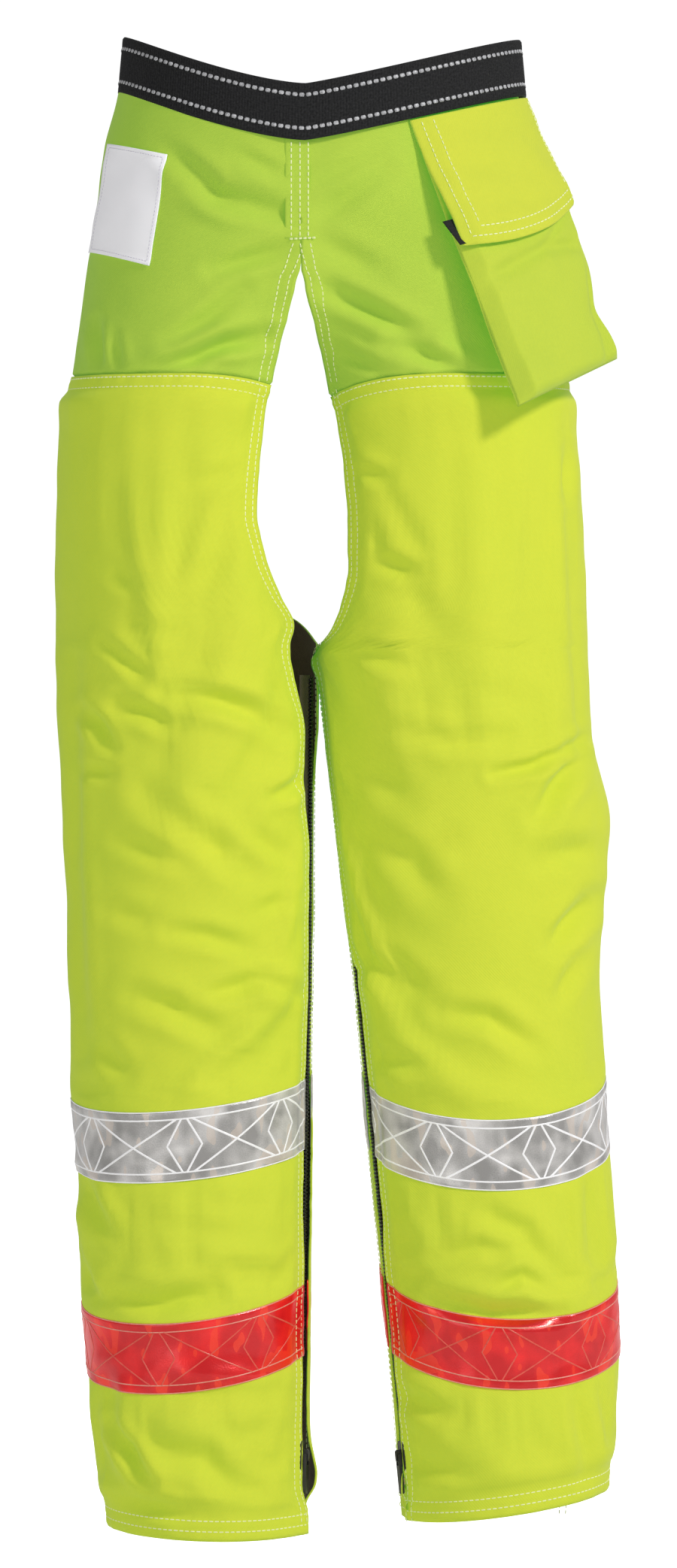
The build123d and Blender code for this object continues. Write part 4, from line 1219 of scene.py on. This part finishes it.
def band(side, colour):
    shape = BANDS[side, colour]
    tape = {"silver": SILVER, "red": RED}[colour]
    z0 = shape[0]

    def tape_lift(a, w):
        """Height of the quilted tape over the cloth."""
        swell = 0.5 * ease((BAND_WIDTH / 2 - np.abs(w)) / 4)
        arc = np.radians(a) * HALF_DEPTH(z0)
        return 0.55 + swell + (0.35 * lumps(arc, w, 22, 101) + 0.15 * lumps(arc, w, 8, 102))

    for part, layer in (("front", "cover"), ("rear", "back")):
        if part == "front":
            ends = (REAR + 0.6, float(cover_edge(side, z0, 0.7)))
        else:
            ends = (-360 + float(back_edge(z0, 0.7)), REAR - 0.4)
        angle = np.linspace(*ends, 160)
        across = np.linspace(-BAND_WIDTH / 2, BAND_WIDTH / 2, 25)[::-1]

        def at(a, w, lift):
            return on_layer(side, layer, a, ring(shape, a) + w, lift)

        grid_a, grid_w = np.meshgrid(angle, across)
        outer = at(grid_a, grid_w, tape_lift(grid_a, grid_w))
        inner = at(grid_a, grid_w, 0.1 + 0 * grid_w)
        piece = sheet_object(f"{side}_{colour}_tape_{part}", outer, inner, [tape, tape])
        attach(piece, f"{side}_shin")

        centre = at(angle, 0 * angle, 0.5)
        length = np.concatenate([[0], np.cumsum(np.linalg.norm(np.diff(centre, axis=0), axis=1))])
        start = np.interp(DIAMOND_AT[side, colour], angle, length) if part == "front" else 20.0

        def weld(points, width, kind):
            """A raised line over the tape through (length, across) points."""
            p = np.array(points, float)
            steps = np.concatenate([[0], np.cumsum(np.hypot(*np.diff(p, axis=0).T))])
            k = np.linspace(0, steps[-1], max(2, int(steps[-1] / 2.0)))
            l, w = np.interp(k, steps, p[:, 0]), np.interp(k, steps, p[:, 1])
            keep = (l > 1.0) & (l < length[-1] - 1.0)
            l, w = l[keep], w[keep]
            if len(l) < 2:
                return
            dl, dw = np.gradient(l), np.gradient(w)
            size = np.hypot(dl, dw)
            rows = []
            for off, up in ((-0.5, -0.1), (-0.35, 0.22), (0.35, 0.22), (0.5, -0.1)):
                ll, ww = l - dw / size * off * width, w + dl / size * off * width
                a = np.interp(ll, length, angle)
                rows.append(at(a, ww, tape_lift(a, ww) + up))
            welds.setdefault(kind, []).append(np.stack(rows))

        welds = {}
        for edge in (BAND_WIDTH / 2 - 6.2, -BAND_WIDTH / 2 + 6.2):
            weld([(0, edge), (length[-1], edge)], 1.3 if colour == "silver" else 0.9, "border")
        for edge in (BAND_WIDTH / 2 - 0.5, -BAND_WIDTH / 2 + 0.5):
            weld([(0, edge), (length[-1], edge)], 0.9, "border")
        half = BAND_WIDTH / 2 - 6.2
        thick = 1.6 if colour == "silver" else 1.1
        first = start - PITCH * math.ceil(start / PITCH)
        for k in range(int(length[-1] / PITCH) + 3):
            c = first + k * PITCH
            weld([(c - 2.0, half), (c - 12.5, 0), (c - 1.5, -half)], thick, "line")
            weld([(c + 2.0, half), (c + 12.5, 0), (c + 1.5, -half)], thick, "line")
            weld([(c + 5.5, half), (c + PITCH - 6.5, -half)], thick, "line")
            weld([(c + 6.5, -half), (c + PITCH - 5.5, half)], thick, "line")
        points, faces, count, kinds = [], [], 0, []
        for kind, strips in welds.items():
            for strip in strips:
                columns = strip.shape[1]
                points.append(strip.reshape(-1, 3))
                f = grid_faces(4, columns, count)
                faces.append(f)
                kinds += [1 if kind == "border" else 0] * len(f)
                count += 4 * columns
        line_material = WELD["silver"] if colour == "silver" else WELD["red"]
        border_material = WELD["silver"] if colour == "silver" else WELD["red_border"]
        lines = make_object(
            f"{side}_{colour}_tape_{part}_welds", np.concatenate(points), np.concatenate(faces), None,
            [line_material, border_material], kinds,
        )  # fmt: skip
        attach(lines, f"{side}_shin")
    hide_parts(f"{side}_{colour}_band")

    # The two edge rows of the cover run across the tape.
    rows = Stitches(f"{side}_{colour}_tape_stitching")
    for inset in EDGE_ROWS:
        w = np.linspace(BAND_WIDTH / 2 - 0.5, 0.5 - BAND_WIDTH / 2, 30)
        a = float(cover_edge(side, shape[0], inset)) + 0 * w
        rows.row(on_layer(side, "cover", a, ring(shape, a) + w, 1.25), leg_normals(side), width=0.9)
    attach(rows.make(THREAD if colour == "red" else WHITE_THREAD), f"{side}_shin")


# ---- zips ---------------------------------------------------------------------------------
def beside_zip(side, z, offset, depth):
    return on_leg(side, zip_angle(z) + arc_angle(z, offset), z, -depth)


def zip_line(side, z, offset, depth):
    """The chain follows the leg above the knee and a straight line below it."""
    z = np.asarray(z, float)
    curved = beside_zip(side, z, offset, depth)
    high, low = (beside_zip(side, np.array(h), 0, 1.9) for h in (KNEE_Z, ZIP_END))
    along = (high - low) / np.linalg.norm(high - low)
    r = math.radians(74)
    out = np.array([INWARD[side] * math.sin(r), -math.cos(r), 0])
    out -= along * (out @ along)
    out /= np.linalg.norm(out)
    across = np.cross(along, out) * INWARD[side]
    up = (z - low[2]) / along[2]
    offset, depth = np.broadcast_arrays(np.asarray(offset, float), np.asarray(depth, float))
    straight = low + up[..., None] * along + (1.9 - depth)[..., None] * out + offset[..., None] * across
    return np.where((z < KNEE_Z)[..., None], straight, curved)


def zip_fastener(side):
    for name, sign in (("front", -1), ("rear", 1)):
        s, t = np.meshgrid(np.linspace(0, 1, 13), np.linspace(0, 1, 300))
        z = mix(ZIP_TOP, ZIP_END - 8, t)

        def face(depth):
            """Flat beside the chain as far as the slider reaches, then down on to the leg."""
            beside = np.clip(s * 2, 0, 1)
            flat = zip_line(side, z, sign * mix(2.2, 6.6, beside), depth + 0.9 * beside)
            far = beside_zip(side, z, sign * 17.0, depth + 2.6)
            return mix(flat, far, np.clip(s * 2 - 1, 0, 1)[..., None])

        piece = sheet_object(f"{side}_zip_tape_{name}", face(2.0), face(2.5), [TAPE, GUARD, TAPE])
        for polygon in piece.data.polygons:  # a strip of the lining covers the tape above the knee
            if polygon.center.z > (KNEE_Z - 12) * MM:
                polygon.material_index = 1
        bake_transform(piece)
        if sign < 0:
            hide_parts(f"{side}_thigh_zip_tapes", f"{side}_shin_zip_tapes")
    z = np.arange(ZIP_TOP - 2, ZIP_END + 4, -1.35)
    sign = np.where(np.arange(len(z)) % 2 == 0, 1.0, -1.0)
    centre = zip_line(side, z, sign * 1.7, 1.5 + 0 * z)
    outer = zip_line(side, z, sign * 1.7, -1.0 + 0 * z) - centre
    across = zip_line(side, z, sign * 4.0, 1.5 + 0 * z) - centre
    points, faces = beads(centre, across, outer, 5.2, 1.9, 3.0)
    chain = make_object(f"{side}_zip_teeth", points, faces, None, [TEETH])
    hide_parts(f"{side}_thigh_zip_chain", f"{side}_shin_zip_chain")
    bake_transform(chain)


def zip_end_loop():
    """A thin loop of binding at the lower end of the left zip."""
    path = [
        (-990, 1.0, 1.2), (-998, 2.5, 4.0), (-1008, 3.5, 5.5), (-1017, 3.0, 5.0), (-1021, 1.5, 2.5),
        (-1016, 0.5, 0.6), (-1006, 0.0, 0.0),
    ]
    k = np.linspace(0, len(path) - 1, 60)
    z, offset, lift = (np.interp(k, np.arange(len(path)), [p[i] for p in path]) for i in range(3))
    line = beside_zip("left", z, -offset, -lift)
    centre, along = along_line(line, 1.1)
    points, faces = beads(centre, along, leg_normals("left")(centre), 1.9, 2.2, 0.9)
    loop = make_object("left_zip_end_loop", points, faces, None, [BACK])
    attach(loop, "left_shin")


# ---- what the frame already shapes --------------------------------------------------------
def finish_node(name, material):
    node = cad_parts[name]
    node.data.materials.clear()
    node.data.materials.append(material)


def frame_nodes():
    for name in ("buckle_socket", "buckle_plug", "buckle_prong_upper", "buckle_prong_lower", "belt_keeper"):
        finish_node(name, PLASTIC)
    finish_node("adjust_strap", BELT)
    for side in SIDES:
        finish_node(f"{side}_zip_slider", ENAMEL)
        finish_node(f"{side}_zip_pull", ENAMEL)
        finish_node(f"{side}_zip_stop", BRASS)


# ---- stage, light and camera --------------------------------------------------------------
VIEW_HEIGHT = 1105.58  # millimetres that the camera sees at the front of the legs, from top to bottom
VIEW_X, VIEW_Z = 11.66, -507.21
VIEW_DISTANCE = 8.0
FRONT_Y = -0.06  # plane that the scale holds for


def studio():
    mesh = bpy.data.meshes.new("floor")
    size, low = 40.0, -1.076
    corners = [(-size, -size, low), (size, -size, low), (size, size, low), (-size, size, low)]
    mesh.from_pydata(corners, [], [(0, 1, 2, 3)])
    floor = bpy.data.objects.new("floor", mesh)
    bpy.context.scene.collection.objects.link(floor)
    n = Nodes("floor")
    place = n.add("ShaderNodeTexCoord").outputs["Object"]
    noise = n.add("ShaderNodeTexNoise", {"Vector": place, "Scale": 3.0})
    n.link(n.ramp(noise.outputs[0], 0.2, 0.8, rgb(0.93, 0.93, 0.92), rgb(0.95, 0.95, 0.94)), "Base Color")
    seen = n.add("ShaderNodeLightPath").outputs["Is Camera Ray"]
    n.link(n.math("MULTIPLY", seen, 0.85), "Emission Strength")
    n.set(Roughness=0.9, Emission_Color=(1, 1, 1, 1))
    mesh.materials.append(n.material)

    world = bpy.data.worlds.new("studio")
    world.use_nodes = True
    tree = world.node_tree
    background = tree.nodes["Background"]
    background.inputs[0].default_value = (1, 1, 1, 1)
    seen = tree.nodes.new("ShaderNodeLightPath")
    strength = tree.nodes.new("ShaderNodeMapRange")
    strength.inputs[3].default_value = 0.31
    strength.inputs[4].default_value = 1.05
    tree.links.new(seen.outputs["Is Camera Ray"], strength.inputs[0])
    tree.links.new(strength.outputs[0], background.inputs[1])
    bpy.context.scene.world = world

    def lamp(name, place, aim, size, power):
        light = bpy.data.lights.new(name, "AREA")
        light.energy, light.size = power, size
        obj = bpy.data.objects.new(name, light)
        bpy.context.scene.collection.objects.link(obj)
        obj.location = place
        direction = np.array(aim) - np.array(place)
        obj.rotation_euler = Vector(direction).to_track_quat("-Z", "Y").to_euler()

    lamp("key", (2.7, -2.7, 2.1), (0, 0, -0.5), 0.6, 111)
    lamp("fill", (-2.6, -3.6, 0.2), (0, 0, -0.5), 2.0, 25)
    lamp("rear", (0.5, 4.0, 1.6), (0, 0, -0.5), 2.5, 70)

    camera = bpy.data.cameras.new("camera")
    camera.sensor_fit = "VERTICAL"
    camera.sensor_height = 24.0
    camera.lens = camera.sensor_height * VIEW_DISTANCE / (VIEW_HEIGHT * MM)
    camera.clip_end = 200
    obj = bpy.data.objects.new("camera", camera)
    obj.location = (VIEW_X * MM, FRONT_Y - VIEW_DISTANCE, VIEW_Z * MM)
    obj.rotation_euler = (math.pi / 2, 0, 0)
    bpy.context.scene.collection.objects.link(obj)
    bpy.context.scene.camera = obj
    bpy.context.scene.view_settings.view_transform = "Standard"


for side in SIDES:
    leg_cover(side)
    hip_panel(side)
    back_panel(side)
    leg_stitches(side)
    zip_fastener(side)
    for colour in ("silver", "red"):
        band(side, colour)
zip_end_loop()
placket()
care_label()
belt()
pocket()
frame_nodes()
studio()
